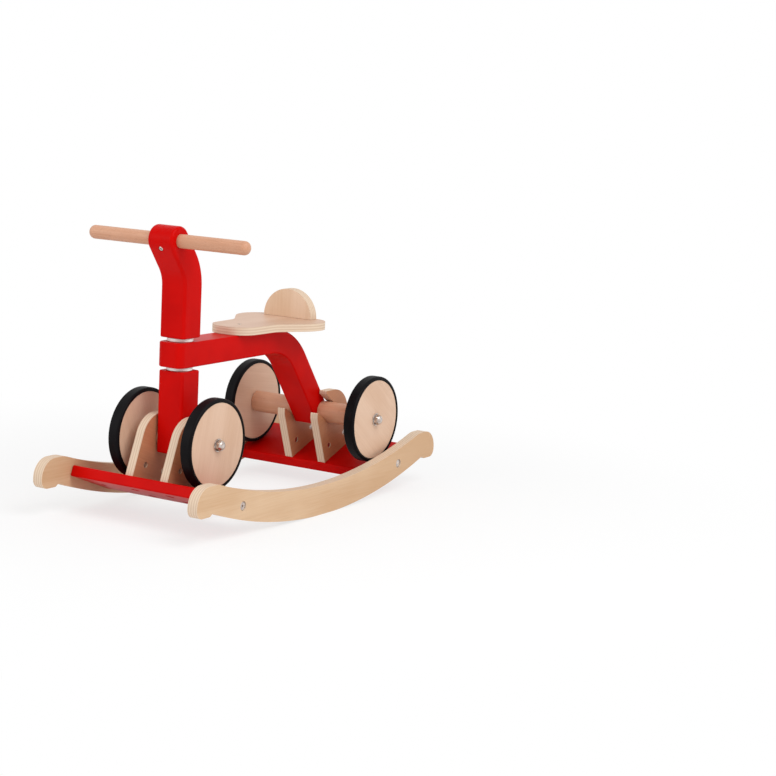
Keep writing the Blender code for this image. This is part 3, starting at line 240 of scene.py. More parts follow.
class FinishSettings(PropertyGroup):
    red: colour("Red paint", "Gloss paint of the frame and boards", (0.600, 0.0022, 0.0010))
    red_deep: colour("Deep red paint", "Paint where it lies thinner", (0.530, 0.0015, 0.0008))
    paint_roughness: factor("Paint roughness", "Roughness of the gloss paint", 0.34)
    birch_pale: colour("Pale birch", "Lighter grain of the birch faces", (0.750, 0.530, 0.390))
    birch_tan: colour("Tan birch", "Darker grain of the birch faces", (0.630, 0.405, 0.270))
    # painted shade: the seat's birch is darker than the other birch, to take back the stronger key light
    # on its top face
    seat_shaded_pale: colour("Pale shaded seat", "Lighter grain of the seat's face", (0.695, 0.475, 0.350))
    seat_shaded_tan: colour("Tan shaded seat", "Darker grain of the seat's face", (0.575, 0.355, 0.235))
    # painted light: the backrest's birch is paler than the other birch, standing in for light on its
    # front face that the lamps don't give
    back_lit_pale: colour("Pale lit backrest", "Lighter grain of the backrest's faces", (0.840, 0.625, 0.460))
    back_lit_tan: colour("Tan lit backrest", "Darker grain of the backrest's faces", (0.720, 0.490, 0.315))
    rocker_pale: colour("Pale rocker", "Lighter grain of the rockers' faces", (0.715, 0.500, 0.315))
    rocker_tan: colour("Tan rocker", "Darker grain of the rockers' faces", (0.590, 0.360, 0.195))
    # painted shade: how far the rockers' faces are darkened toward their rear ends, standing in for light
    # that falls off there
    rocker_end_shade: factor("Painted shade at rocker ends", "How far the rockers darken to their rear ends", 0.85)
    # painted shade and painted red light: the cradles' birch is darker and redder than the other birch,
    # standing in for the wheels' shadow and red light thrown back from the boards
    cradle_shaded_pale: colour("Pale shaded cradle", "Lighter grain of the cradles' faces", (0.590, 0.285, 0.150))
    cradle_shaded_tan: colour("Tan shaded cradle", "Darker grain of the cradles' faces", (0.450, 0.190, 0.090))
    layer_pale: colour("Pale layer", "Long-grain layers in a plywood edge", (0.770, 0.605, 0.455))
    layer_dark: colour("Dark layer", "End-grain layers in a plywood edge", (0.650, 0.475, 0.335))
    layer: length("Layer", "Thickness of one plywood layer", 0.0022)
    beech_pale: colour("Pale beech", "Lighter grain of the turned beech", (0.680, 0.375, 0.240))
    beech_dark: colour("Dark beech", "Darker grain of the turned beech", (0.540, 0.250, 0.140))
    rubber: colour("Rubber", "Tyre rubber", (0.0036, 0.0030, 0.0036))
    steel: colour("Steel", "Plated steel of nuts, washers and bolts", (0.700, 0.640, 0.600))
    # painted reflection: dark brownish patches on the plated steel stand in for dark and wooden
    # surroundings mirrored in it
    steel_dark_reflection: colour("Steel's dark reflections", "Darker patches of the plated steel", (0.420, 0.340, 0.300))
    nylon: colour("Nylon", "White nylon of the steering discs and bushes", (0.840, 0.840, 0.820))


class StageSettings(PropertyGroup):
    floor: colour("Floor", "Plain pale floor", (0.920, 0.920, 0.920))
    floor_glow: factor("Floor glow", "Share of plain white in the floor that the camera sees", 0.70)
    floor_reach: length("Floor reach", "From the toy to the floor's edge", 30.0)
    floor_mirrored: factor("Floor mirrored", "Share of that white that glossy pieces mirror", 0.5)
    shadow_reach: length("Shadow reach", "Distance at which the floor begins to turn plain white", 0.42)
    shadow_end: length("Shadow end", "Distance at which the floor is plain white", 1.05)
    world_strength: factor("World strength", "Soft light from all round", 0.62, 4.0)
    key_power: power("Key power", "Large lamp above the side", 56.0)
    fill_power: power("Fill power", "Lamp at the front", 20.0)
    lens: FloatProperty(
        name="Lens", description="Focal length on a 36 mm sensor", default=94.17, unit="CAMERA"
    )
    azimuth: angle("Azimuth", "Direction of the camera round the toy from its front", 31.37)
    elevation: angle("Elevation", "Height of the camera above the horizon", 9.282)
    roll: angle("Roll", "Turn of the camera about its own axis", 2.779)


class RideOnSettings(PropertyGroup):
    detail: PointerProperty(type=DetailSettings)
    chassis: PointerProperty(type=FrameSettings)
    seat: PointerProperty(type=SeatSettings)
    base: PointerProperty(type=BaseSettings)
    wheel: PointerProperty(type=WheelSettings)
    fixing: PointerProperty(type=FixingSettings)
    finish: PointerProperty(type=FinishSettings)
    stage: PointerProperty(type=StageSettings)


def settings():
    return bpy.context.scene.ride_on


# Outlines and meshes

def rounded(corners):
    """Turns corners (a, b, radius) into a closed outline with an arc at each corner."""
    points = []
    step = settings().detail.arc_step
    for index, (a, b, radius) in enumerate(corners):
        here = Vector((a, b))
        before = (Vector(corners[index - 1][:2]) - here).normalized()
        after = (Vector(corners[(index + 1) % len(corners)][:2]) - here).normalized()
        if radius:
            turn = math.pi - before.angle(after)
            start = before * radius * math.tan(turn / 2)
            centre = (before + after).normalized() * radius / math.cos(turn / 2)
            way = math.copysign(turn, -before.cross(after))
            steps = max(1, math.ceil(turn / step))
            spoke = start - centre
            found = [here + centre + Matrix.Rotation(part, 2) @ spoke for part in spread(0, way, steps)]
        else:
            found = [here]
        points += [point for point in found if not points or (point - points[-1]).length > CLEARANCE / 3]
    return points


def sharp(points):
    return [(point[0], point[1], 0) for point in points]


def circle(a, b, radius):
    return round_points((a, b), radius, spread(0, 2 * math.pi, settings().detail.small_flats)[:-1])


def bent_strip(path_start, bend_corner, turn, end_length, radius, depth):
    """Both sides of a strip of even depth whose centre line turns once, as (one side, other side)."""
    start, corner = Vector(path_start), Vector(bend_corner)
    ahead = (corner - start).normalized()
    after = Matrix.Rotation(turn, 2) @ ahead
    side = Vector((-ahead.y, ahead.x)) * math.copysign(1, turn)
    centre = corner - ahead * radius * math.tan(abs(turn) / 2) + side * radius
    steps = math.ceil(abs(turn) / (settings().detail.arc_step / 2))
    sides = []
    for reach in (radius - depth / 2, radius + depth / 2):
        arc = [centre + Matrix.Rotation(part, 2) @ (-side) * reach for part in spread(0, turn, steps)]
        first = start + side * (radius - reach)
        last = corner + after * end_length + Matrix.Rotation(turn, 2) @ side * (radius - reach)
        sides.append([first, *arc, last])
    return sides


def plate(outline, thickness, matrix, holes=()):
    """A flat outline with holes as a closed mesh, centred on its plane and placed by a matrix."""
    curve = bpy.data.curves.new("plate", "CURVE")
    curve.dimensions = "2D"
    curve.fill_mode = "BOTH"
    curve.extrude = thickness / 2
    for line in (outline, *holes):
        spline = curve.splines.new("POLY")
        spline.points.add(len(line) - 1)
        for point, place in zip(spline.points, line):
            point.co = (place[0], place[1], 0, 1)
        spline.use_cyclic_u = True
    mesh = taken(shown("plate", curve))
    bpy.data.curves.remove(curve)
    mesh.transform(matrix)
    return mended(mesh)


def opened(mesh):
    work = bmesh.new()
    work.from_mesh(mesh)
    return work


def written(work, mesh):
    """Ends the work on a mesh."""
    work.to_mesh(mesh)
    work.free()
    return mesh


def block(size, matrix):
    work = bmesh.new()
    bmesh.ops.create_cube(work, size=1.0, matrix=matrix @ Matrix.Diagonal((*size, 1)))
    return written(work, bpy.data.meshes.new("block"))


def turned(profile, flats, matrix, ring=False):
    """A turned piece about its own Z from (radius, height) pairs that run down its outer side."""
    work = bmesh.new()
    turns = spread(0, 2 * math.pi, flats)[:-1]
    rows = []
    for radius, height in profile:
        if radius:
            row = [work.verts.new((x, y, height)) for x, y in round_points((0, 0), radius, turns)]
        else:
            row = [work.verts.new((0, 0, height))] * flats
        rows.append(row)
    if ring:
        rows.append(rows[0])
    for upper, lower in zip(rows, rows[1:]):
        for k in range(flats):
            following = (k + 1) % flats
            corners = [upper[following], upper[k], lower[k], lower[following]]
            work.faces.new(list(dict.fromkeys(corners)))
    mesh = written(work, bpy.data.meshes.new("turned"))
    mesh.transform(matrix)
    return mended(mesh)


def rod(radius, start, end, flats):
    """A plain cylinder between two points, for a hole."""
    start, end = Vector(start), Vector(end)
    half = (end - start).length / 2
    turn = (end - start).to_track_quat("Z", "Y").to_matrix().to_4x4()
    profile = [(0, half), (radius, half), (radius, -half), (0, -half)]
    return turned(profile, flats, Matrix.Translation((start + end) / 2) @ turn)


def counterbore(radius, start, end):
    """A round hole for a head or nut of a radius."""
    return rod(radius + settings().fixing.rim_gap, start, end, settings().detail.small_flats)


def mended(mesh):
    """Welds a mesh and turns its faces outwards."""
    work = opened(mesh)
    bmesh.ops.remove_doubles(work, verts=work.verts, dist=SAME_PLACE)
    bmesh.ops.recalc_face_normals(work, faces=work.faces)
    return written(work, mesh)


def merged(first, second):
    """Two meshes as one."""
    work = opened(first)
    work.from_mesh(second)
    return written(work, first)


def shown(name, data):
    """A new object in the scene."""
    item = bpy.data.objects.new(name, data)
    bpy.context.scene.collection.objects.link(item)
    return item


def taken(item):
    """The mesh of an object with its modifiers. The object goes."""
    bpy.context.view_layer.update()
    mesh = bpy.data.meshes.new_from_object(item.evaluated_get(bpy.context.evaluated_depsgraph_get()))
    bpy.data.objects.remove(item)
    return mesh


def worked(mesh, kind, **values):
    """A mesh after one modifier."""
    item = shown("worked", mesh)
    modifier = item.modifiers.new(kind, kind)
    for name, value in values.items():
        setattr(modifier, name, value)
    return taken(item)


def rims_rounded(mesh, radius):
    """A mesh with its sharp rims rounded."""
    return worked(
        mesh, "BEVEL", width=radius, segments=settings().detail.rim_steps, limit_method="ANGLE",
        angle_limit=SHARP_EDGE,
    )


def edges_rounded(mesh, wanted, radius):
    """A mesh with the sharp edges that wanted(middle, direction) picks rounded."""
    work = opened(mesh)
    bmesh.ops.dissolve_limit(work, angle_limit=FLAT_ENOUGH, verts=work.verts, edges=work.edges)
    picked = []
    for edge in work.edges:
        start, end = (vertex.co for vertex in edge.verts)
        corner = edge.calc_face_angle(0) > SHARP_EDGE
        if corner and wanted((start + end) / 2, (end - start).normalized()):
            picked.append(edge)
    steps = 2 * settings().detail.rim_steps
    bmesh.ops.bevel(
        work, geom=picked, offset=radius, segments=steps, profile=0.5, affect="EDGES", clamp_overlap=True
    )
    return written(work, mesh)


def bored(mesh, *holes):
    """A mesh with other closed meshes taken out of it."""
    for hole in holes:
        tool = shown("hole", hole)
        mesh = worked(mesh, "BOOLEAN", operation="DIFFERENCE", object=tool, solver="EXACT")
        bpy.data.objects.remove(tool)
    return mesh


def add_piece(name, mesh, slot, material, replaced, body="base_and_frame"):
    """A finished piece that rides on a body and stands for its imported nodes."""
    mesh.materials.clear()
    mesh.materials.append(material)
    mesh.shade_smooth()
    mesh.set_sharp_from_angle(angle=CREASE)
    item = shown(name, mesh)
    evened = item.modifiers.new("even shading", "WEIGHTED_NORMAL")
    evened.keep_sharp = True
    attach(item, body)
    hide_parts(*replaced)
    return item


def add_painted(name, mesh, node, **more):
    add_piece(name, mesh, "red_paint", red_paint(), [node], **more)


def dress(node, material):
    """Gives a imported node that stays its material."""
    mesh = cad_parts[node].data
    mesh.materials.clear()
    mesh.materials.append(material)


# Node trees

class TreeMaker:
    """Adds nodes to a tree, with values or links for their inputs."""

    def __init__(self, tree):
        self.tree = tree

    def socket(self, name, kind, value=None, side="INPUT"):
        made = self.tree.interface.new_socket(name, in_out=side, socket_type=kind)
        if value is not None:
            made.default_value = value

    def add(self, kind, inputs=None, **values):
        node = self.tree.nodes.new(kind)
        for name, value in values.items():
            setattr(node, name, value)
        for key, value in (inputs or {}).items():
            if isinstance(value, bpy.types.NodeSocket):
                self.tree.links.new(value, node.inputs[key])
            else:
                node.inputs[key].default_value = value
        return node

    def math(self, operation, first, second=0.0, **values):
        inputs = {0: first, 1: second}
        return self.add("ShaderNodeMath", inputs, operation=operation, **values).outputs[0]

    def plus(self, first, second):
        return self.math("ADD", first, second)

    def minus(self, first, second):
        return self.math("SUBTRACT", first, second)

    def times(self, first, second):
        return self.math("MULTIPLY", first, second)

    def ramp(self, value, low, high, to_low=0.0, to_high=1.0):
        """Value from low to high, smoothly, as to_low to to_high."""
        inputs = {"Value": value, "From Min": low, "From Max": high, "To Min": to_low, "To Max": to_high}
        return self.add("ShaderNodeMapRange", inputs, interpolation_type="SMOOTHSTEP").outputs[0]

    def mix(self, amount, first, second):
        node = self.add("ShaderNodeMix", {0: amount, 6: first, 7: second}, data_type="RGBA")
        return node.outputs[2]

    def noise(self, vector, scale, detail=3.0, roughness=0.55):
        inputs = {"Vector": vector, "Scale": scale, "Detail": detail, "Roughness": roughness}
        return self.add("ShaderNodeTexNoise", inputs).outputs[0]

    def stretched(self, vector, along, across):
        """A vector for a pattern that is finer across X than along it."""
        inputs = {"Vector": vector, "Scale": (along, across, across)}
        return self.add("ShaderNodeMapping", inputs).outputs[0]

    def turned(self, vector, turn, centre=(0, 0, 0)):
        """A place or direction as a piece with this centre and turn has it."""
        inputs = {"Vector": vector, "Location": centre, "Rotation": turn}
        return self.add("ShaderNodeMapping", inputs, vector_type="TEXTURE").outputs[0]

    def vector(self, **parts):
        return self.add("ShaderNodeCombineXYZ", parts).outputs[0]

    def combined(self, operation, *shapes):
        """Meshes as one: UNION or INTERSECT of all, or the first one with the others taken out."""
        node = self.add("GeometryNodeMeshBoolean", operation=operation, solver="EXACT")
        if operation == "DIFFERENCE":
            self.tree.links.new(shapes[0], node.inputs["Mesh 1"])
            shapes = shapes[1:]
        for shape in shapes:
            self.tree.links.new(shape, node.inputs["Mesh 2"])
        return node.outputs[0]


# Geometry trees

HEAD_CHAMFER = 0.25  # of a head's height
CROSS_REACH = 1.1  # the length of a cross recess, of its head's radius
SLOT_REACH = 3.0  # the length of a barrel nut's slot, of the nut's radius
NUT_CONE = (1.35, 0.93)  # the radii of the cone that chamfers a cap nut, of its corner radius
NUT_COLLAR = (0.4, 0.9)  # the depth and middle of a cap nut's collar, of its height
DOME_RINGS = 16


def geometry_tree(name, inputs):
    """An empty geometry tree with the given float or whole-number inputs and a material."""
    tree = bpy.data.node_groups.new(name, "GeometryNodeTree")
    maker = TreeMaker(tree)
    maker.socket("Places", "NodeSocketGeometry")
    for label, value in inputs.items():
        kind = "NodeSocketInt" if isinstance(value, int) else "NodeSocketFloat"
        maker.socket(label, kind, value)
    maker.socket("Finish", "NodeSocketMaterial")
    maker.socket("Geometry", "NodeSocketGeometry", side="OUTPUT")
    return maker, maker.add("NodeGroupInput").outputs


def placed_at_points(maker, given, shape):
    """Ends a tree: the shape stands at each point, turned by the point's own angles."""
    turn = maker.add("GeometryNodeInputNamedAttribute", {"Name": "turn"}, data_type="FLOAT_VECTOR")
    rotation = maker.add("FunctionNodeEulerToRotation", {0: turn.outputs[0]}).outputs[0]
    inputs = {"Points": given["Places"], "Instance": shape, "Rotation": rotation}
    copies = maker.add("GeometryNodeInstanceOnPoints", inputs).outputs[0]
    real = maker.add("GeometryNodeRealizeInstances", {0: copies}).outputs[0]
    finished = maker.add("GeometryNodeSetMaterial", {"Geometry": real, "Material": given["Finish"]})
    maker.add("NodeGroupOutput", {0: finished.outputs[0]})
    return maker.tree


def moved(maker, shape, z, **more):
    inputs = {"Geometry": shape, "Translation": maker.vector(Z=z), **more}
    return maker.add("GeometryNodeTransform", inputs).outputs[0]


def cylinder(maker, flats, radius, depth, middle):
    inputs = {"Vertices": flats, "Radius": radius, "Depth": depth}
    return moved(maker, maker.add("GeometryNodeMeshCylinder", inputs).outputs[0], middle)


def cone(maker, flats, bottom, top, depth):
    inputs = {"Vertices": flats, "Radius Bottom": bottom, "Radius Top": top, "Depth": depth}
    return maker.add("GeometryNodeMeshCone", inputs).outputs[0]


def brick(maker, x, y, z):
    return maker.add("GeometryNodeMeshCube", {"Size": maker.vector(X=x, Y=y, Z=z)}).outputs[0]


def ring_tree():
    """A rounded ring about Z: discs, spacers and washers."""
    maker, given = geometry_tree("Turned Ring", {
        "Inner Radius": 0.01, "Outer Radius": 0.02, "Width": 0.01, "Rounding": 0.001, "Flats": 96,
    })
    wall = maker.minus(given["Outer Radius"], given["Inner Radius"])
    middle = maker.plus(given["Inner Radius"], maker.times(wall, 0.5))
    inputs = {"Resolution": given["Flats"], "Radius": middle}
    path = maker.add("GeometryNodeCurvePrimitiveCircle", inputs)
    inputs = {"Width": wall, "Height": given["Width"]}
    section = maker.add("GeometryNodeCurvePrimitiveQuadrilateral", inputs).outputs[0]
    inputs = {"Curve": section, "Count": 4, "Radius": given["Rounding"]}
    fillet = maker.add("GeometryNodeFilletCurve", inputs, mode="POLY").outputs[0]
    swept = maker.add("GeometryNodeCurveToMesh", {"Curve": path.outputs[0], "Profile Curve": fillet})
    return placed_at_points(maker, given, swept.outputs[0])


def fixing_tree(name, recess):
    """A bolt or screw along Z: its head's underside is at height 0 and its shank hangs below."""
    maker, given = geometry_tree(name, {
        "Head Radius": 0.0065, "Head Height": 0.003, "Shank Radius": 0.003, "Shank Length": 0.04,
        "Recess Size": 0.0024, "Recess Depth": 0.0018, "Flats": 32,
    })
    height, flats, radius = given["Head Height"], given["Flats"], given["Head Radius"]
    edge = maker.times(height, HEAD_CHAMFER)
    straight = maker.minus(height, edge)
    side = cylinder(maker, flats, radius, straight, maker.times(straight, 0.5))
    crown = moved(maker, cone(maker, flats, radius, maker.minus(radius, edge), edge), straight)
    head = maker.combined("UNION", side, crown)
    tools = recess(maker, given, maker.times(given["Recess Depth"], 2.0))
    cut = maker.combined("DIFFERENCE", head, *[moved(maker, tool, height) for tool in tools])
    reach = given["Shank Length"]
    shank = cylinder(maker, flats, given["Shank Radius"], reach, maker.times(reach, -0.5))
    whole = maker.add("GeometryNodeJoinGeometry")
    for part in (cut, shank):
        maker.tree.links.new(part, whole.inputs[0])
    return placed_at_points(maker, given, whole.outputs[0])


def hexagon_recess(maker, given, deep):
    """A hexagon socket, twice as deep as it cuts."""
    return [cylinder(maker, 6, given["Recess Size"], deep, 0.0)]


def cross_recess(maker, given, deep):
    """Both bars of a cross recess, twice as deep as they cut."""
    width, reach = given["Recess Size"], maker.times(given["Head Radius"], CROSS_REACH)
    return [brick(maker, reach, width, deep), brick(maker, width, reach, deep)]


def barrel_tree():
    """A barrel nut along Z with a slot across each end."""
    maker, given = geometry_tree("Barrel Nut", {
        "Radius": 0.005, "Length": 0.015, "Slot": 0.0012, "Flats": 32,
    })
    reach, width = given["Length"], given["Slot"]
    barrel = cylinder(maker, given["Flats"], given["Radius"], reach, 0.0)
    slot = brick(maker, maker.times(given["Radius"], SLOT_REACH), width, maker.times(width, 2.0))
    slots = [moved(maker, slot, maker.times(reach, share)) for share in (0.5, -0.5)]
    return placed_at_points(maker, given, maker.combined("DIFFERENCE", barrel, *slots))


def cap_nut_tree():
    """A domed hexagon nut that stands on its open end at height 0."""
    maker, given = geometry_tree("Cap Nut", {
        "Corner Radius": 0.0075, "Nut Height": 0.0055, "Cap Radius": 0.0058, "Cap Height": 0.005,
        "Flats": 32,
    })
    height, flats = given["Nut Height"], given["Flats"]
    corner, dome_radius = given["Corner Radius"], given["Cap Radius"]
    hexagon = cylinder(maker, 6, corner, height, maker.times(height, 0.5))
    chamfer = cone(maker, flats, *[maker.times(corner, share) for share in NUT_CONE], height)
    inputs = {"Segments": flats, "Rings": DOME_RINGS, "Radius": dome_radius}
    ball = maker.add("GeometryNodeMeshUVSphere", inputs).outputs[0]
    flatter = maker.vector(X=1.0, Y=1.0, Z=maker.math("DIVIDE", given["Cap Height"], dome_radius))
    dome = moved(maker, ball, height, Scale=flatter)
    collar = cylinder(maker, flats, dome_radius, *[maker.times(height, share) for share in NUT_COLLAR])
    whole = maker.combined("UNION", maker.combined("INTERSECT", hexagon, chamfer), dome, collar)
    return placed_at_points(maker, given, whole)


def copies_of(tree, matrices, material, values):
    """One plain mesh of a tree's shape at every place."""
    mesh = bpy.data.meshes.new("places")
    mesh.from_pydata([matrix.translation for matrix in matrices], [], [])
    turns = mesh.attributes.new("turn", "FLOAT_VECTOR", "POINT")
    for item, matrix in zip(turns.data, matrices):
        item.vector = matrix.to_euler()
    item = shown("copies", mesh)
    modifier = item.modifiers.new("copies", "NODES")
    modifier.node_group = tree
    inputs = [entry for entry in tree.interface.items_tree if entry.in_out == "INPUT"]
    found = {entry.name: entry.identifier for entry in inputs}
    for label, value in {**values, "Finish": material}.items():
        modifier[found[label]] = value
    return mended(taken(item))


def rings(places, material, bore, radius, width, rounding):
    """Rounded rings that stand at their places, as one mesh."""
    return copies_of(once("Turned Ring", ring_tree), places, material, {
        "Inner Radius": bore, "Outer Radius": radius, "Width": width, "Rounding": rounding,
        "Flats": settings().detail.round_flats,
    })


# Shader groups

PALE_WOOD, DARK_WOOD = (0.8, 0.6, 0.4, 1.0), (0.6, 0.4, 0.3, 1.0)
PORE, GLUE = (0.12, 0.06, 0.035, 1.0), (0.05, 0.03, 0.02, 1.0)


def shader_group(name, inputs, *outputs):
    """An empty shader group with its inputs' values, None for a vector, and its outputs' names."""
    maker = TreeMaker(bpy.data.node_groups.new(name, "ShaderNodeTree"))
    kinds = {float: "NodeSocketFloat", tuple: "NodeSocketColor", type(None): "NodeSocketVector"}
    for label, value in inputs.items():
        maker.socket(label, kinds[type(value)], value)
    for label in outputs:
        maker.socket(label, "NodeSocketColor" if label == "Color" else "NodeSocketFloat", side="OUTPUT")
    return maker, maker.add("NodeGroupInput").outputs


def grain_group():
    """Long grain along X: colour between two tones, with short dark pores."""
    maker, given = shader_group("Wood Grain", {
        "Vector": None, "Pale": PALE_WOOD, "Dark": DARK_WOOD, "Pores": 0.3,
    }, "Color", "Height")
    vector = given["Vector"]
    broad = maker.noise(maker.stretched(vector, along=2.5, across=22.0), 1.0, detail=4.0, roughness=0.6)
    fine = maker.noise(maker.stretched(vector, along=14.0, across=520.0), 1.0, roughness=0.6)
    cloud = maker.noise(vector, 9.0, detail=2.0)
    tone = maker.plus(maker.times(broad, 0.55), maker.times(fine, 0.30))
    tone = maker.plus(tone, maker.times(cloud, 0.30))
    wood = maker.mix(maker.ramp(tone, 0.38, 0.82), given["Pale"], given["Dark"])
    speck = maker.noise(maker.stretched(vector, along=260.0, across=2100.0), 1.0, detail=1.0)
    pore = maker.times(maker.ramp(speck, 0.62, 0.74), given["Pores"])
    deep = maker.mix(0.45, given["Dark"], PORE)
    height = maker.minus(maker.times(fine, 0.5), pore)
    maker.add("NodeGroupOutput", {"Color": maker.mix(pore, wood, deep), "Height": height})
    return maker.tree


def plywood_group(grain):
    """Birch plywood: long grain along X on its faces and stripes across Z on its edges, with painted
    shade that can darken the faces toward +X.
    """
    maker, given = shader_group("Plywood", {
        "Vector": None, "Facing": None, "Pale": PALE_WOOD, "Dark": DARK_WOOD, "Layer Pale": PALE_WOOD,
        "Layer Dark": DARK_WOOD, "Layer": 0.0014, "Pores": 0.3, "End Shade": 0.0, "Reach": 0.3,
    }, "Color", "Roughness", "Height")
    shared = {label: given[label] for label in ("Vector", "Pale", "Dark", "Pores")}
    face = maker.add("ShaderNodeGroup", shared, node_tree=grain).outputs
    place = maker.add("ShaderNodeSeparateXYZ", {0: given["Vector"]}).outputs
    facing = maker.add("ShaderNodeSeparateXYZ", {0: given["Facing"]}).outputs
    wave = maker.times(maker.noise(given["Vector"], 60.0, detail=2.0), 0.25)
    layers = maker.plus(maker.math("DIVIDE", place["Z"], given["Layer"]), wave)
    swing = maker.math("PINGPONG", layers, 1.0)
    dark_layer = maker.ramp(swing, 0.40, 0.60)
    end_grain = maker.noise(given["Vector"], 1500.0, detail=2.0)
    speckle = maker.ramp(end_grain, 0.35, 0.75, 0.78, 1.18)
    dark = maker.math("MULTIPLY", dark_layer, speckle, use_clamp=True)
    layered = maker.mix(dark, given["Layer Pale"], given["Layer Dark"])
    seam = maker.math("ABSOLUTE", maker.minus(swing, 0.5))
    glue = maker.times(maker.ramp(seam, 0.03, 0.10, 1.0, 0.0), 0.15)
    striped = maker.mix(glue, layered, maker.mix(0.5, given["Layer Dark"], GLUE))
    # painted shade: the face colour slides toward the dark tone from the middle out along +X, standing in
    # for light that falls off toward a rocker's rear end
    end_shade_share = maker.times(maker.ramp(place["X"], 0.0, given["Reach"]), given["End Shade"])
    with_painted_end_shade = maker.mix(end_shade_share, face["Color"], given["Dark"])
    edge = maker.minus(1.0, maker.ramp(maker.math("ABSOLUTE", facing["Z"]), 0.80, 0.93))
    rough = maker.plus(0.42, maker.times(edge, 0.16))
    relief = maker.times(maker.times(dark_layer, edge), -0.8)
    height = maker.plus(face["Height"], relief)
    maker.add("NodeGroupOutput", {
        "Color": maker.mix(edge, with_painted_end_shade, striped), "Roughness": rough, "Height": height,
    })
    return maker.tree


def surface_group():
    """A slightly uneven even-coloured surface: paint, rubber, nylon or plated steel."""
    maker, given = shader_group("Even Surface", {
        "Vector": None, "Color": (0.5, 0.5, 0.5, 1.0), "Second Color": (0.4, 0.4, 0.4, 1.0),
        "Patch Scale": 20.0, "Fine Scale": 700.0, "Roughness": 0.3, "Roughness Spread": 0.1,
    }, "Color", "Roughness", "Height")
    patch = maker.noise(given["Vector"], given["Patch Scale"])
    fine = maker.noise(given["Vector"], given["Fine Scale"], detail=2.0)
    mixed = maker.mix(maker.ramp(patch, 0.35, 0.70), given["Color"], given["Second Color"])
    spread_out = maker.times(maker.minus(patch, 0.5), given["Roughness Spread"])
    rough = maker.plus(given["Roughness"], spread_out)
    maker.add("NodeGroupOutput", {"Color": mixed, "Roughness": rough, "Height": fine})
    return maker.tree


def once(name, make, *inputs):
    """A node tree that is built the first time that it is asked for."""
    return bpy.data.node_groups.get(name) or make(*inputs)


# Materials

def new_material(name):
    material = bpy.data.materials.new(name)
    material.use_nodes = True
    maker = TreeMaker(material.node_tree)
    shader = material.node_tree.nodes["Principled BSDF"]
    place = maker.add("ShaderNodeTexCoord").outputs
    return material, maker, shader, place


def opaque(value):
    return (*value, 1.0)


def finish_surface(maker, shader, outputs, roughness, bump, strength, **constants):
    """Links a group's outputs and a roughness to the shader. Constants go on its own sockets."""
    inputs = {"Strength": strength, "Distance": bump, "Height": outputs["Height"]}
    normal = maker.add("ShaderNodeBump", inputs).outputs[0]
    links = {"Base Color": outputs["Color"], "Roughness": roughness, "Normal": normal}
    for label, value in links.items():
        maker.tree.links.new(value, shader.inputs[label])
    for label, value in constants.items():
        shader.inputs[label.replace("_", " ")].default_value = value


def plywood(name, centre, along, through, tones=None, end_shade=0.0, reach=0.3):
    """Plywood for one piece: its middle, the grain's direction and the direction through its layers. Its
    faces can darken toward the end along the grain, as painted shade.
    """
    wood = settings().finish
    pale, dark = tones or (wood.birch_pale, wood.birch_tan)
    material, maker, shader, place = new_material(name)
    turn = Matrix((along, through.cross(along), through)).transposed().to_euler()
    group = maker.add("ShaderNodeGroup", {
        "Vector": maker.turned(place["Object"], turn, centre),
        "Facing": maker.turned(place["Normal"], turn), "Pale": opaque(pale), "Dark": opaque(dark),
        "Layer Pale": opaque(wood.layer_pale), "Layer Dark": opaque(wood.layer_dark),
        "Layer": wood.layer, "Pores": 0.12, "End Shade": end_shade, "Reach": reach,
    }, node_tree=once("Plywood", plywood_group, once("Wood Grain", grain_group))).outputs
    finish_surface(
        maker, shader, group, group["Roughness"], bump=0.0002, strength=0.35, Specular_IOR_Level=0.35
    )
    return material


def turned_beech(name, centre):
    """Oiled beech for one piece, with its grain along X."""
    wood = settings().finish
    material, maker, shader, place = new_material(name)
    vector = maker.turned(place["Object"], (0, 0, 0), centre)
    group = maker.add("ShaderNodeGroup", {
        "Vector": vector, "Pale": opaque(wood.beech_pale), "Dark": opaque(wood.beech_dark), "Pores": 0.55,
    }, node_tree=once("Wood Grain", grain_group)).outputs
    rough = maker.ramp(maker.noise(vector, 30.0), 0.3, 0.7, 0.38, 0.52)
    finish_surface(maker, shader, group, rough, bump=0.0002, strength=0.4, Specular_IOR_Level=0.4)
    return material


def even(name, first, second, patches, fine, roughness, spread_out, bump, **constants):
    """An evenly coloured finish with a little unevenness, made the first time that it is asked for."""
    material = bpy.data.materials.get(name)
    if material:
        return material
    material, maker, shader, place = new_material(name)
    group = maker.add("ShaderNodeGroup", {
        "Vector": place["Object"], "Color": opaque(first), "Second Color": opaque(second),
        "Patch Scale": patches, "Fine Scale": fine, "Roughness": roughness,
        "Roughness Spread": spread_out,
    }, node_tree=once("Even Surface", surface_group)).outputs
    finish_surface(maker, shader, group, group["Roughness"], bump, strength=0.3, **constants)
    return material


def red_paint():
    paint = settings().finish
    return even(
        "Gloss red paint", paint.red, paint.red_deep, patches=14.0, fine=420.0,
        roughness=paint.paint_roughness, spread_out=0.10, bump=0.00015, Specular_IOR_Level=0.05,
    )


def tyre_rubber():
    rubber = settings().finish.rubber
    return even(
        "Black tyre rubber", rubber, [value * 1.5 for value in rubber], patches=45.0, fine=900.0,
        roughness=0.46, spread_out=0.16, bump=0.0003, Specular_IOR_Level=0.07,
    )


def plated_steel():
    finish = settings().finish
    # the second tone's patches are painted dark reflections
    return even(
        "Plated steel", finish.steel, finish.steel_dark_reflection, patches=160.0, fine=1500.0,
        roughness=0.22, spread_out=0.14, bump=0.0001, Metallic=1.0,
    )


def white_nylon():
    nylon = settings().finish.nylon
    warm = [value * share for value, share in zip(nylon, (0.97, 0.96, 0.93))]
    return even(
        "White nylon", nylon, warm, patches=60.0, fine=800.0, roughness=0.38, spread_out=0.10, bump=0.0001
    )


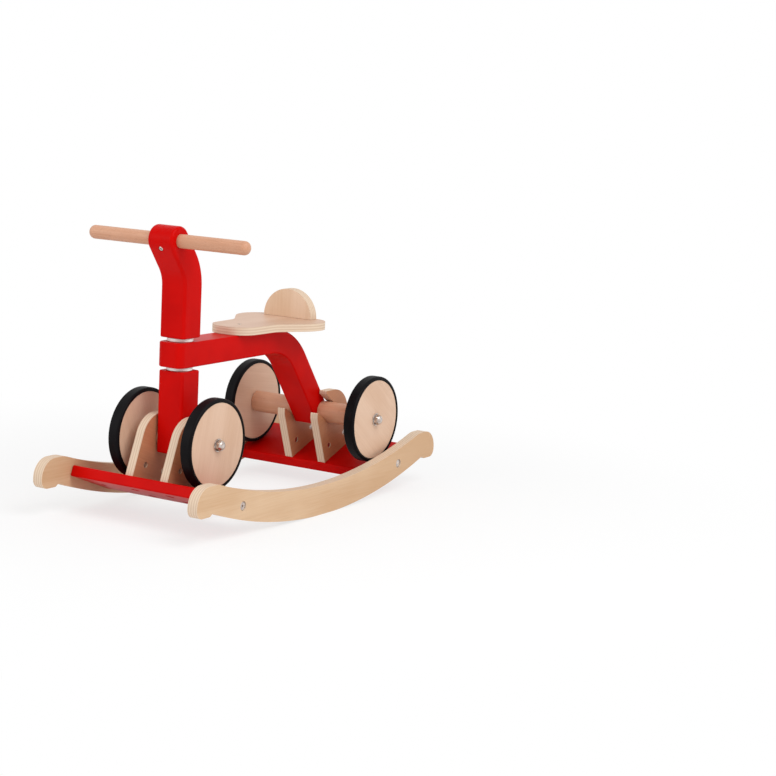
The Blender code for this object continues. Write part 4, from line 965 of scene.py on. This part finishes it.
# Shapes and places

def upright(outline, thickness, x=0.0, holes=()):
    """A plate from an outline in the side view, with its middle at x."""
    return plate(outline, thickness, Matrix.Translation((x, 0, 0)) @ SIDE_VIEW, holes)


def quarter(centre, radius, start):
    """A quarter round that runs clockwise from a turn."""
    steps = 2 * settings().detail.rim_steps
    return round_points(centre, radius, spread(start, start - math.pi / 2, steps))


def sag(radius, reach):
    """How far a round edge rises at a distance from its lowest point."""
    return radius - math.sqrt(radius ** 2 - reach ** 2)


def rocker_outline():
    base, steps = settings().base, settings().detail.rocker_steps
    half_length = size_of("rocker_left").y / 2

    def bottom(y):
        return sag(base.bottom_radius, y) - sag(base.bottom_radius, base.flat / 2)

    def top(y):
        return base.middle + sag(base.top_radius, y)

    foot_start = half_length - base.foot_length
    notch = foot_start - base.notch_length
    foot_bottom = bottom(notch) - base.foot_step
    shoulder = half_length - base.head_length
    half = [
        *[(y, bottom(y), 0) for y in spread(base.flat / 2, notch, steps)[:-1]],
        (notch, bottom(notch), base.notch_radius),
        (foot_start, foot_bottom, base.notch_radius),
        (half_length, foot_bottom, base.foot_radius),
        (half_length, top(shoulder), base.head_radius),
        (shoulder, top(shoulder), base.head_blend),
        *[(y, top(y), 0) for y in spread(0, shoulder, steps)[-2:0:-1]],
    ]
    other = [(-y, z, radius) for y, z, radius in reversed(half)]
    return rounded([*half, (0, base.middle, 0), *other])


def on_board(end, x, out, up):
    """A point by its place across a board, outward from the board's middle and up from its mid-plane."""
    centre, tilt = middle_of(f"{end}_board"), settings().base.board_tilt
    y = centre.y + ENDS[end] * (out * math.cos(tilt) - up * math.sin(tilt))
    return Vector((x, y, centre.z + out * math.sin(tilt) + up * math.cos(tilt)))


def board_normal(end):
    tilt = settings().base.board_tilt
    return Vector((0, -ENDS[end] * math.sin(tilt), math.cos(tilt)))


def cradle_outline(end):
    """A hooked plate: its foot follows the board, its slot opens upward to the middle of the base."""
    base = settings().base
    foot = base.board_thickness / 2 + CLEARANCE
    inner = on_board(end, 0, base.foot_inner - base.board_width / 2, foot)
    outer = on_board(end, 0, base.board_width / 2 - base.foot_outer, foot)
    slot = base.slot_front if end == "front" else base.slot_rear
    opening = Vector((-math.cos(base.slot_angle), math.sin(base.slot_angle)))
    aside = Vector((opening.y, -opening.x)) * slot
    hub = middle_of(f"{end}_axle")
    axle = Vector((abs(hub.y), hub.z))
    closed_end = axle - opening * slot
    upper, lower = axle + aside, axle - aside
    tip = upper + opening * (upper.x - axle.x + base.tip_at) / -opening.x
    horn = lower + opening * (lower.x - axle.x + base.horn_at) / -opening.x
    back = axle + Vector((base.back_at, -base.back_drop))
    heel = Vector((abs(outer.y), outer.z))
    spoke = heel - back
    lean = math.atan2(spoke.y, spoke.x) + math.acos(base.back_radius / spoke.length)
    steps = math.ceil((math.pi / 2 - lean) / settings().detail.arc_step)
    arc = round_points(back, base.back_radius, spread(lean, math.pi / 2, steps))
    corners = [
        (abs(inner.y), inner.z, 0),
        (heel.x, heel.y, 0),
        *sharp(arc),
        (tip.x, arc[-1][1], base.tip_rounding),
        (tip.x, tip.y, base.tip_rounding),
        (*(closed_end + aside), slot),
        (*(closed_end - aside), slot),
        (horn.x, horn.y, base.tip_rounding),
        (horn.x, horn.y - base.horn_drop, base.horn_rounding),
    ]
    return [(ENDS[end] * y, z) for y, z in rounded(corners)]


def post_forward():
    """The direction out of the front of the post's leaning upper part."""
    lean = settings().chassis.post_lean
    return Vector((0, -math.cos(lean), -math.sin(lean)))


def head_end(node, outward):
    """The middle of a fixing's outer end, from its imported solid."""
    outward = outward.normalized()
    points = [vertex.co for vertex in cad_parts[node].data.vertices]
    level = max(point @ outward for point in points) - SAME_LEVEL
    ring = {tuple(round(value, 6) for value in point) for point in points if point @ outward > level}
    return sum((Vector(point) for point in ring), Vector()) / len(ring)


def standing(place, up, side=ACROSS):
    """The matrix of a piece that stands at a place with its Z along up and its X near side."""
    up = up.normalized()
    across = up.cross(side).normalized()
    return Matrix.Translation(place) @ Matrix((across.cross(up), across, up)).transposed().to_4x4()


def lying(node):
    """The matrix of a turned piece that lies across the toy in the middle of a packed one."""
    return standing(middle_of(node), ACROSS, ALONG)


def heads(fixings, head_height):
    """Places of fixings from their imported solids: each head's underside, with Z outward."""
    places = []
    for node, outward in fixings:
        outward = outward.normalized()
        side = ALONG if lies_along(outward, 0) else ACROSS
        places.append(standing(head_end(node, outward) - outward * head_height, outward, side))
    return places


# Operators

class RIDEON_OT_rockers(Operator):
    """Make the two plywood rockers with their recessed screw holes"""
    bl_idname = "rideon.rockers"
    bl_label = "Rockers"

    def execute(self, context):
        base, fixing, wood = settings().base, settings().fixing, settings().finish
        sunk = fixing.bolt_head_height + fixing.bolt_sink + CLEARANCE
        for side, sign in SIDES.items():
            node, outward = f"rocker_{side}", sign * ACROSS
            centre, size = middle_of(node), size_of(node)
            mesh = rims_rounded(upright(rocker_outline(), size.x, centre.x), base.rounding)
            holes = []
            for end in ENDS:
                head = head_end(f"{end}_rocker_screw_{side}", outward)
                inner, outer = head - outward * sunk, head + outward * size.x
                holes.append(counterbore(fixing.bolt_head, inner, outer))
            mesh = bored(mesh, *holes)
            # the rockers' faces get painted shade toward their rear ends
            tones = (wood.rocker_pale, wood.rocker_tan)
            material = plywood(
                f"Birch plywood of {side} rocker", centre, ALONG, ACROSS, tones, wood.rocker_end_shade,
                size.y / 2,
            )
            add_piece(f"plywood_rocker_{side}", mesh, "birch_ply", material, [node])
        return {"FINISHED"}


class RIDEON_OT_boards(Operator):
    """Make the two red boards that join the rockers"""
    bl_idname = "rideon.boards"
    bl_label = "Boards"

    def execute(self, context):
        base = settings().base
        low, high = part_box("rocker_left")
        size = (2 * (low.x - CLEARANCE), base.board_width, base.board_thickness)
        for end, way in ENDS.items():
            tilt = Matrix.Rotation(way * base.board_tilt, 4, "X")
            mesh = block(size, Matrix.Translation(on_board(end, 0, 0, 0)) @ tilt)
            mesh = bored(rims_rounded(mesh, base.board_rounding), *self.holes(end))
            add_painted(f"painted_{end}_board", mesh, f"{end}_board")
        return {"FINISHED"}

    def holes(self, end):
        """Holes from below for the barrel nuts and for the sunk heads of the cradles' bolts."""
        fixing, thickness = settings().fixing, settings().base.board_thickness
        up, holes = board_normal(end), []
        sunk = 2 * fixing.bolt_head_height + fixing.board_sink + CLEARANCE
        for side, sign in SIDES.items():
            x = head_end(f"{end}_rocker_screw_{side}", sign * ACROSS).x
            x -= sign * (fixing.bolt_head_height + fixing.rocker_barrel)
            below, above = (
                on_board(end, x, 0, height) for height in (-thickness, fixing.board_barrel_length / 2)
            )
            holes.append(counterbore(fixing.barrel_radius, below, above))
            for which in PAIR:
                head = head_end(f"{end}_cradle_bolt_{side}_{which}", -up)
                holes.append(counterbore(fixing.bolt_head, head - up * thickness, head + up * sunk))
        return holes


class RIDEON_OT_cradles(Operator):
    """Make the four hooked plywood cradles with their holes for barrel nuts"""
    bl_idname = "rideon.cradles"
    bl_label = "Cradles"

    def execute(self, context):
        wood = settings().finish
        for end in ENDS:
            for side in SIDES:
                node = f"{end}_cradle_{side}"
                centre, size = middle_of(node), size_of(node)
                holes = [self.hole(end, side, which) for which in PAIR]
                mesh = upright(cradle_outline(end), size.x, centre.x, holes)
                mesh = rims_rounded(mesh, settings().base.cradle_rounding)
                slope = board_normal(end).cross(ACROSS)
                # the cradles' darker, redder tones are painted shade and painted red light from the
                # boards
                material = plywood(
                    f"Birch plywood of {end} {side} cradle", centre, slope, ACROSS,
                    (wood.cradle_shaded_pale, wood.cradle_shaded_tan),
                )
                add_piece(f"plywood_{node}", mesh, "birch_ply", material, [node])
        return {"FINISHED"}

    def hole(self, end, side, which):
        fixing, up = settings().fixing, board_normal(end)
        head = head_end(f"{end}_cradle_bolt_{side}_{which}", -up)
        centre = head + up * (fixing.bolt_head_height + fixing.cradle_barrel)
        return circle(centre.y, centre.z, fixing.barrel_radius + fixing.rim_gap)


class RIDEON_OT_frame(Operator):
    """Make the red beam with its bent rear leg"""
    bl_idname = "rideon.frame"
    bl_label = "Beam and rear leg"

    def execute(self, context):
        chassis = settings().chassis
        depth, turn = chassis.beam_depth, -chassis.leg_angle
        low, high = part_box("frame_beam")
        axle, spindle = middle_of("rear_axle"), middle_of("steering_spindle")
        level = high.z - depth / 2
        down = Vector((math.cos(turn), math.sin(turn)))
        normal = Vector((-down.y, down.x))
        on_line = Vector((axle.y, axle.z)) - normal * chassis.axle_behind_leg
        corner = on_line + down * (level - on_line.y) / down.y
        reach = (level - low.z) / -down.y + depth
        sides = bent_strip((low.y, level), corner, turn, reach, chassis.beam_bend, depth)
        ends = []
        for side in sides:
            slope = side[-1] - side[-2]
            ends.append(side[-2] + slope * (low.z - side[-2].y) / slope.y)
        (inside, outside), (toe, heel) = sides, ends
        outline = rounded([
            *sharp([*inside[:-1], toe]),
            (heel.x, heel.y, chassis.heel_radius),
            *sharp(reversed(outside[:-1])),
        ])

        def at_nose(middle, direction):
            return abs(middle.y - low.y) < CLEARANCE and lies_along(direction, 2)

        mesh = edges_rounded(upright(outline, high.x - low.x), at_nose, chassis.nose_rounding)
        mesh = rims_rounded(mesh, chassis.rim_rounding)
        below, above = (0, spindle.y, high.z - 2 * depth), (0, spindle.y, high.z + depth)
        bore = rod(chassis.bush_radius + CLEARANCE, below, above, settings().detail.small_flats)
        add_painted("painted_beam", bored(mesh, bore), "frame_beam")
        return {"FINISHED"}


class RIDEON_OT_steering(Operator):
    """Make the bent handlebar post, the front leg, the handlebar and the white discs between them"""
    bl_idname = "rideon.steering"
    bl_label = "Steering"

    def execute(self, context):
        self.post()
        self.front_leg()
        self.handlebar()
        self.discs()
        return {"FINISHED"}

    def post(self):
        chassis, fixing, detail = settings().chassis, settings().fixing, settings().detail
        low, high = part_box("handlebar_post")
        bar, bar_radius = middle_of("handlebar"), size_of("handlebar").z / 2
        bar_place = Vector((bar.y, bar.z))
        foot = Vector((middle_of("steering_spindle").y, low.z))
        corner = foot + Vector((0, chassis.post_corner))
        reach = (bar_place - corner).length
        inside, outside = bent_strip(
            foot, corner, chassis.post_lean, reach, chassis.post_bend, chassis.post_depth
        )
        spoke = outside[-1] - bar_place
        turns = spread(0, math.pi, math.ceil(math.pi / detail.arc_step))[1:-1]
        head = [bar_place + Matrix.Rotation(turn, 2) @ spoke for turn in turns]
        mesh = upright([*outside, *head, *reversed(inside)], high.x - low.x)

        def along_post(middle, direction):
            return abs(abs(middle.x) - high.x) < CLEARANCE and middle.z > low.z + CLEARANCE

        mesh = edges_rounded(mesh, along_post, chassis.edge_rounding)
        mesh = rims_rounded(mesh, chassis.rim_rounding)
        ends = [(2 * x, bar.y, bar.z) for x in (low.x, high.x)]
        bar_hole = rod(bar_radius + CLEARANCE, *ends, 2 * detail.small_flats)
        forward = post_forward()
        screw = head_end("handlebar_screw", forward)
        inside = screw - forward * (fixing.screw_head_height + CLEARANCE)
        screw_hole = counterbore(fixing.screw_head, inside, screw + forward * chassis.post_depth)
        mesh = bored(mesh, bar_hole, screw_hole)
        add_painted("painted_post", mesh, "handlebar_post", body="steering")

    def front_leg(self):
        chassis = settings().chassis
        mesh = block(size_of("front_leg"), Matrix.Translation(middle_of("front_leg")))

        def is_upright(middle, direction):
            return lies_along(direction, 2)

        mesh = edges_rounded(mesh, is_upright, chassis.edge_rounding)
        mesh = rims_rounded(mesh, chassis.rim_rounding)
        add_painted("painted_front_leg", mesh, "front_leg", body="steering")

    def handlebar(self):
        size = size_of("handlebar")
        half, radius, soft = size.x / 2, size.z / 2, settings().chassis.bar_rounding
        end = [(0, half), *quarter((radius - soft, half - soft), soft, math.pi / 2)]
        profile = end + [(r, -z) for r, z in reversed(end)]
        mesh = turned(profile, settings().detail.round_flats, lying("handlebar"))
        material = turned_beech("Oiled beech of handlebar", middle_of("handlebar"))
        add_piece("beech_handlebar", mesh, "beech", material, ["handlebar"], "steering")

    def discs(self):
        chassis = settings().chassis
        nodes = ["lower_steering_disc", "upper_steering_disc"]
        size = size_of(nodes[0])
        places = [Matrix.Translation(middle_of(node)) for node in nodes]
        mesh = rings(places, white_nylon(), chassis.disc_bore, size.x / 2, size.z, chassis.disc_rounding)
        add_piece("nylon_steering_discs", mesh, "nylon", white_nylon(), nodes, "steering")


class RIDEON_OT_seat(Operator):
    """Make the plywood seat and backrest"""
    bl_idname = "rideon.seat"
    bl_label = "Seat and backrest"

    def execute(self, context):
        self.seat()
        self.backrest()
        return {"FINISHED"}

    def seat(self):
        shape, fixing, wood = settings().seat, settings().fixing, settings().finish
        low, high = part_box("seat")
        shoulder = high.y - shape.side
        side = [
            (shape.nose_half, low.y, shape.nose_radius),
            (shape.waist_half, shoulder - shape.flare, shape.waist_radius),
            (high.x, shoulder, shape.shoulder_radius),
            (high.x, high.y, shape.corner_radius),
        ]
        outline = rounded(side + [(-x, y, radius) for x, y, radius in reversed(side)])
        middle = UP * (high.z - shape.thickness / 2)
        mesh = rims_rounded(plate(outline, shape.thickness, Matrix.Translation(middle)), shape.rounding)
        screw = head_end("seat_screw", UP)
        below = screw - UP * (fixing.screw_head_height + CLEARANCE)
        mesh = bored(mesh, counterbore(fixing.screw_head, below, screw + UP * shape.thickness))
        # the seat's darker tones are painted shade against the key light on its top
        material = plywood("Birch plywood of seat", middle, ALONG, UP, (wood.seat_shaded_pale, wood.seat_shaded_tan))
        add_piece("plywood_seat", mesh, "birch_ply", material, ["seat"])

    def backrest(self):
        shape, wood = settings().seat, settings().finish
        low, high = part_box("backrest")
        centre, radius = (low + high) / 2, (high.x - low.x) / 2
        turns = spread(0, math.pi, math.ceil(math.pi / settings().detail.arc_step))
        matrix = Matrix.Translation((0, centre.y, low.z)) @ Matrix.Rotation(math.pi / 2, 4, "X")
        mesh = plate(round_points((0, 0), radius, turns), high.y - low.y, matrix)
        mesh = rims_rounded(mesh, shape.rounding)
        # the backrest's paler tones are painted light on its front face
        tones = (wood.back_lit_pale, wood.back_lit_tan)
        material = plywood("Birch plywood of backrest", centre, UP, ALONG, tones)
        add_piece("plywood_backrest", mesh, "birch_ply", material, ["backrest"])


class RIDEON_OT_wheels(Operator):
    """Make the four plywood wheel discs with their rubber tyres"""
    bl_idname = "rideon.wheels"
    bl_label = "Wheels"

    def execute(self, context):
        shape = settings().wheel
        for index, (end, side) in enumerate((end, side) for end in ENDS for side in SIDES):
            name = f"{end}_{side}"
            body, disc, tyre = f"{name}_wheel", f"{name}_wheel_disc", f"{name}_tyre"
            grain = math.radians(FIRST_WHEEL_GRAIN + NEXT_WHEEL_GRAIN * index)
            along = Vector((0, math.cos(grain), math.sin(grain)))
            material = plywood(f"Birch plywood of {end} {side} wheel", middle_of(disc), along, ACROSS)
            bore, width = shape.bush_radius + CLEARANCE, size_of(disc).x
            mesh = rings([lying(disc)], material, bore, shape.disc_radius, width, shape.disc_rounding)
            add_piece(f"plywood_{name}_wheel", mesh, "birch_ply", material, [disc], body)
            profile = self.tyre_profile(size_of(tyre))
            mesh = turned(profile, settings().detail.round_flats, lying(disc), ring=True)
            add_piece(f"rubber_{name}_tyre", mesh, "rubber", tyre_rubber(), [tyre], body)
        return {"FINISHED"}

    def tyre_profile(self, size):
        shape = settings().wheel
        half, outer, inner = size.x / 2, size.z / 2, shape.disc_radius + CLEARANCE
        lip, tread = shape.lip_rounding, shape.tread_rounding
        upper = [
            *quarter((inner + lip, half - lip), lip, math.pi),
            *quarter((outer - tread, half - tread), tread, math.pi / 2),
            (outer, half * shape.tread_split),
        ]
        return upper + [(r, -z) for r, z in reversed(upper)]


class RIDEON_OT_axle_fittings(Operator):
    """Make the beech spacers, washers and cap nuts of both axles"""
    bl_idname = "rideon.axle_fittings"
    bl_label = "Axle fittings"

    def execute(self, context):
        shape = settings().wheel
        for end, body in (("front", "steering"), ("rear", "base_and_frame")):
            beech = turned_beech(f"Oiled beech of {end} spacers", middle_of(f"{end}_axle"))
            for kind, slot, material, rounding in (
                ("spacer", "beech", beech, shape.spacer_rounding),
                ("washer", "zinc_steel", plated_steel(), shape.washer_rounding),
            ):
                nodes = [f"{end}_{kind}_{side}" for side in SIDES]
                size = size_of(nodes[0])
                places = [lying(node) for node in nodes]
                mesh = rings(places, material, shape.bore, size.z / 2, size.x, rounding)
                add_piece(f"{end}_{kind}s", mesh, slot, material, nodes, body)
            self.cap_nuts(end, body)
        return {"FINISHED"}

    def cap_nuts(self, end, body):
        shape, places = settings().wheel, []
        nodes = [f"{end}_cap_nut_{side}" for side in SIDES]
        size = size_of(nodes[0])
        for node, (side, sign) in zip(nodes, SIDES.items()):
            turn = CAP_NUT_TURNS[side]
            foot = middle_of(node) - sign * ACROSS * size.x / 2
            places.append(standing(foot, sign * ACROSS, Vector((0, math.cos(turn), math.sin(turn)))))
        mesh = copies_of(once("Cap Nut", cap_nut_tree), places, plated_steel(), {
            "Corner Radius": shape.nut_radius, "Nut Height": shape.nut_height,
            "Cap Radius": shape.cap_radius, "Cap Height": size.x - shape.nut_height,
            "Flats": settings().detail.small_flats,
        })
        add_piece(f"{end}_cap_nuts", mesh, "zinc_steel", plated_steel(), nodes, body)


class RIDEON_OT_fixings(Operator):
    """Make the bolts, wood screws and barrel nuts"""
    bl_idname = "rideon.fixings"
    bl_label = "Bolts and screws"

    def execute(self, context):
        fixing = settings().fixing
        bolt = once("Socket Bolt", fixing_tree, "Socket Bolt", hexagon_recess)
        screw = once("Cross Screw", fixing_tree, "Cross Screw", cross_recess)
        bolts = self.values("bolt", fixing.bolt_socket)
        screws = self.values("screw", fixing.cross_width)
        rocker = [
            (f"{end}_rocker_screw_{side}", sign * ACROSS) for end in ENDS for side, sign in SIDES.items()
        ]
        cradle = [
            (f"{end}_cradle_bolt_{side}_{which}", -board_normal(end))
            for end in ENDS for side in SIDES for which in PAIR
        ]
        seat, handlebar = [("seat_screw", UP)], [("handlebar_screw", post_forward())]
        backrest = [(f"backrest_screw_{side}", -UP) for side in SIDES]
        in_boards = self.barrels(rocker, fixing.rocker_barrel, fixing.board_barrel_length)
        across_cradle = size_of("rear_cradle_left").x - 2 * fixing.barrel_sink
        in_cradles = self.barrels(cradle, fixing.cradle_barrel, across_cradle)
        board_sink = fixing.bolt_head_height + fixing.board_sink
        for name, body, tree, fixings, values, sink, barrels in (
            ("rocker_bolts", "base_and_frame", bolt, rocker, bolts, fixing.bolt_sink, in_boards),
            ("cradle_bolts", "base_and_frame", bolt, cradle, bolts, board_sink, in_cradles),
            ("seat_screw_head", "base_and_frame", screw, seat, screws, 0, None),
            ("backrest_screw_heads", "base_and_frame", screw, backrest, screws, 0, None),
            ("handlebar_screw_head", "steering", screw, handlebar, screws, 0, None),
        ):
            node, outward = fixings[0]
            points = [vertex.co @ outward.normalized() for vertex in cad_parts[node].data.vertices]
            shank = max(points) - min(points) - values["Head Height"]
            places = heads(fixings, values["Head Height"] + sink)
            mesh = copies_of(tree, places, plated_steel(), {**values, "Shank Length": shank})
            if barrels:
                mesh = merged(mesh, barrels)
            nodes = [node for node, outward in fixings]
            add_piece(name, mesh, "zinc_steel", plated_steel(), nodes, body)
        return {"FINISHED"}

    def values(self, kind, recess_size):
        fixing = settings().fixing
        return {
            "Head Radius": getattr(fixing, f"{kind}_head"),
            "Head Height": getattr(fixing, f"{kind}_head_height"),
            "Shank Radius": getattr(fixing, f"{kind}_shank"),
            "Recess Size": recess_size, "Recess Depth": fixing.recess_depth,
            "Flats": settings().detail.small_flats,
        }

    def barrels(self, fixings, depth, full_length):
        """Barrel nuts below the heads: across the boards, or along X in the cradles."""
        fixing, places = settings().fixing, []
        for node, outward in fixings:
            outward = outward.normalized()
            centre = head_end(node, outward) - outward * (fixing.bolt_head_height + depth)
            if lies_along(outward, 0):
                places.append(standing(centre, board_normal(node.split("_")[0]), ALONG))
            else:
                places.append(standing(centre, ACROSS, outward))
        return copies_of(once("Barrel Nut", barrel_tree), places, plated_steel(), {
            "Radius": fixing.barrel_radius, "Length": full_length, "Slot": fixing.barrel_slot,
            "Flats": settings().detail.small_flats,
        })


class RIDEON_OT_hidden_parts(Operator):
    """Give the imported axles, spindle and bushes that stay their finishes"""
    bl_idname = "rideon.hidden_parts"
    bl_label = "Axles, spindle and bushes"

    def execute(self, context):
        for node in ("front_axle", "rear_axle", "steering_spindle"):
            dress(node, plated_steel())
        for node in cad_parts:
            if node.endswith("bush"):
                dress(node, white_nylon())
        return {"FINISHED"}


class RIDEON_OT_stage(Operator):
    """Make the plain floor, the soft lights and the camera"""
    bl_idname = "rideon.stage"
    bl_label = "Stage"

    def execute(self, context):
        stage = settings().stage
        self.floor(stage)
        self.world(stage)
        for name, place, size, watts in (
            ("Key lamp", (2.2, -0.6, 2.6), 2.4, stage.key_power),
            ("Fill lamp", (-1.2, -2.8, 1.4), 2.0, stage.fill_power),
        ):
            self.lamp(name, place, size, watts)
        self.camera(stage)
        bpy.context.scene.view_settings.view_transform = "Standard"
        return {"FINISHED"}

    def floor(self, stage):
        """A pale floor that takes the shadow near the toy and is plain white further out."""
        mesh, reach = bpy.data.meshes.new("floor"), stage.floor_reach
        corners = [(x * reach, y * reach, 0) for x, y in ((-1, -1), (1, -1), (1, 1), (-1, 1))]
        mesh.from_pydata(corners, [], [(0, 1, 2, 3)])
        item = shown("floor", mesh)
        item.location.z = -CLEARANCE
        material, maker, shader, place = new_material("Plain pale floor")
        values = {"Base Color": opaque(stage.floor), "Roughness": 0.9, "Specular IOR Level": 0.0}
        for label, value in values.items():
            shader.inputs[label].default_value = value
        path = maker.add("ShaderNodeLightPath").outputs
        mirrored = maker.times(path["Is Glossy Ray"], stage.floor_mirrored)
        seen = maker.math("MAXIMUM", path["Is Camera Ray"], mirrored)
        seen = maker.math("MAXIMUM", seen, path["Is Transmission Ray"])
        away = maker.add("ShaderNodeVectorMath", {0: place["Object"]}, operation="LENGTH").outputs[1]
        fade = maker.ramp(away, stage.shadow_reach, stage.shadow_end, stage.floor_glow, 1.0)
        share = maker.times(seen, fade)
        glow = maker.add("ShaderNodeEmission", {"Color": WHITE, "Strength": 1.0}).outputs[0]
        mixed = maker.add("ShaderNodeMixShader", {0: share, 1: shader.outputs[0], 2: glow}).outputs[0]
        output = material.node_tree.nodes["Material Output"]
        maker.tree.links.new(mixed, output.inputs["Surface"])
        mesh.materials.append(material)

    def world(self, stage):
        """Soft light from all round that the camera sees as white."""
        world = bpy.data.worlds.new("Studio")
        bpy.context.scene.world = world
        world.use_nodes = True
        maker = TreeMaker(world.node_tree)
        path = maker.add("ShaderNodeLightPath").outputs
        seen = maker.math("MAXIMUM", path["Is Camera Ray"], path["Is Glossy Ray"])
        seen = maker.math("MAXIMUM", seen, path["Is Transmission Ray"])
        strength = maker.ramp(seen, 0.0, 1.0, stage.world_strength, 1.0)
        background = world.node_tree.nodes["Background"]
        background.inputs["Color"].default_value = WHITE
        maker.tree.links.new(strength, background.inputs["Strength"])

    def lamp(self, name, place, size, watts):
        light = bpy.data.lights.new(name, "AREA")
        light.shape = "DISK"
        light.size = size
        light.energy = watts
        item = shown(name, light)
        item.location = place
        item.rotation_euler = (LAMP_AIM - item.location).to_track_quat("-Z", "Y").to_euler()

    def camera(self, stage):
        camera = bpy.data.cameras.new("Camera")
        camera.sensor_width = SENSOR_WIDTH
        camera.lens = stage.lens
        item = shown("Camera", camera)
        item.matrix_world = Matrix.Translation(CAMERA_PLACE)
        for turn, axis in (
            (stage.azimuth, "Z"), (math.pi / 2 - stage.elevation, "X"), (stage.roll, "Z")
        ):
            item.matrix_world = item.matrix_world @ Matrix.Rotation(turn, 4, axis)
        bpy.context.scene.camera = item


class RIDEON_PT_pieces(Panel):
    """Lists the toy's pieces and the stage in the sidebar"""
    bl_idname = "RIDEON_PT_pieces"
    bl_label = "Ride-On Toy"
    bl_space_type = "VIEW_3D"
    bl_region_type = "UI"
    bl_category = "Ride-On"

    def draw(self, context):
        for operator in OPERATORS:
            self.layout.operator(operator.bl_idname)
        for group in RideOnSettings.__annotations__:
            part = getattr(context.scene.ride_on, group)
            box = self.layout.box()
            for name in part.__annotations__:
                box.prop(part, name)


GROUPS = (
    DetailSettings, FrameSettings, SeatSettings, BaseSettings, WheelSettings, FixingSettings,
    FinishSettings, StageSettings, RideOnSettings,
)
OPERATORS = (
    RIDEON_OT_rockers, RIDEON_OT_boards, RIDEON_OT_cradles, RIDEON_OT_frame, RIDEON_OT_steering,
    RIDEON_OT_seat, RIDEON_OT_wheels, RIDEON_OT_axle_fittings, RIDEON_OT_fixings, RIDEON_OT_hidden_parts,
    RIDEON_OT_stage,
)


def register():
    for item in (*GROUPS, *OPERATORS, RIDEON_PT_pieces):
        bpy.utils.register_class(item)
    bpy.types.Scene.ride_on = PointerProperty(type=RideOnSettings)


def unregister():
    del bpy.types.Scene.ride_on
    for item in reversed((*GROUPS, *OPERATORS, RIDEON_PT_pieces)):
        bpy.utils.unregister_class(item)


def main():
    register()
    for operator in OPERATORS:
        getattr(bpy.ops.rideon, operator.bl_idname.split(".")[1])()


if __name__ == "__main__":
    main()
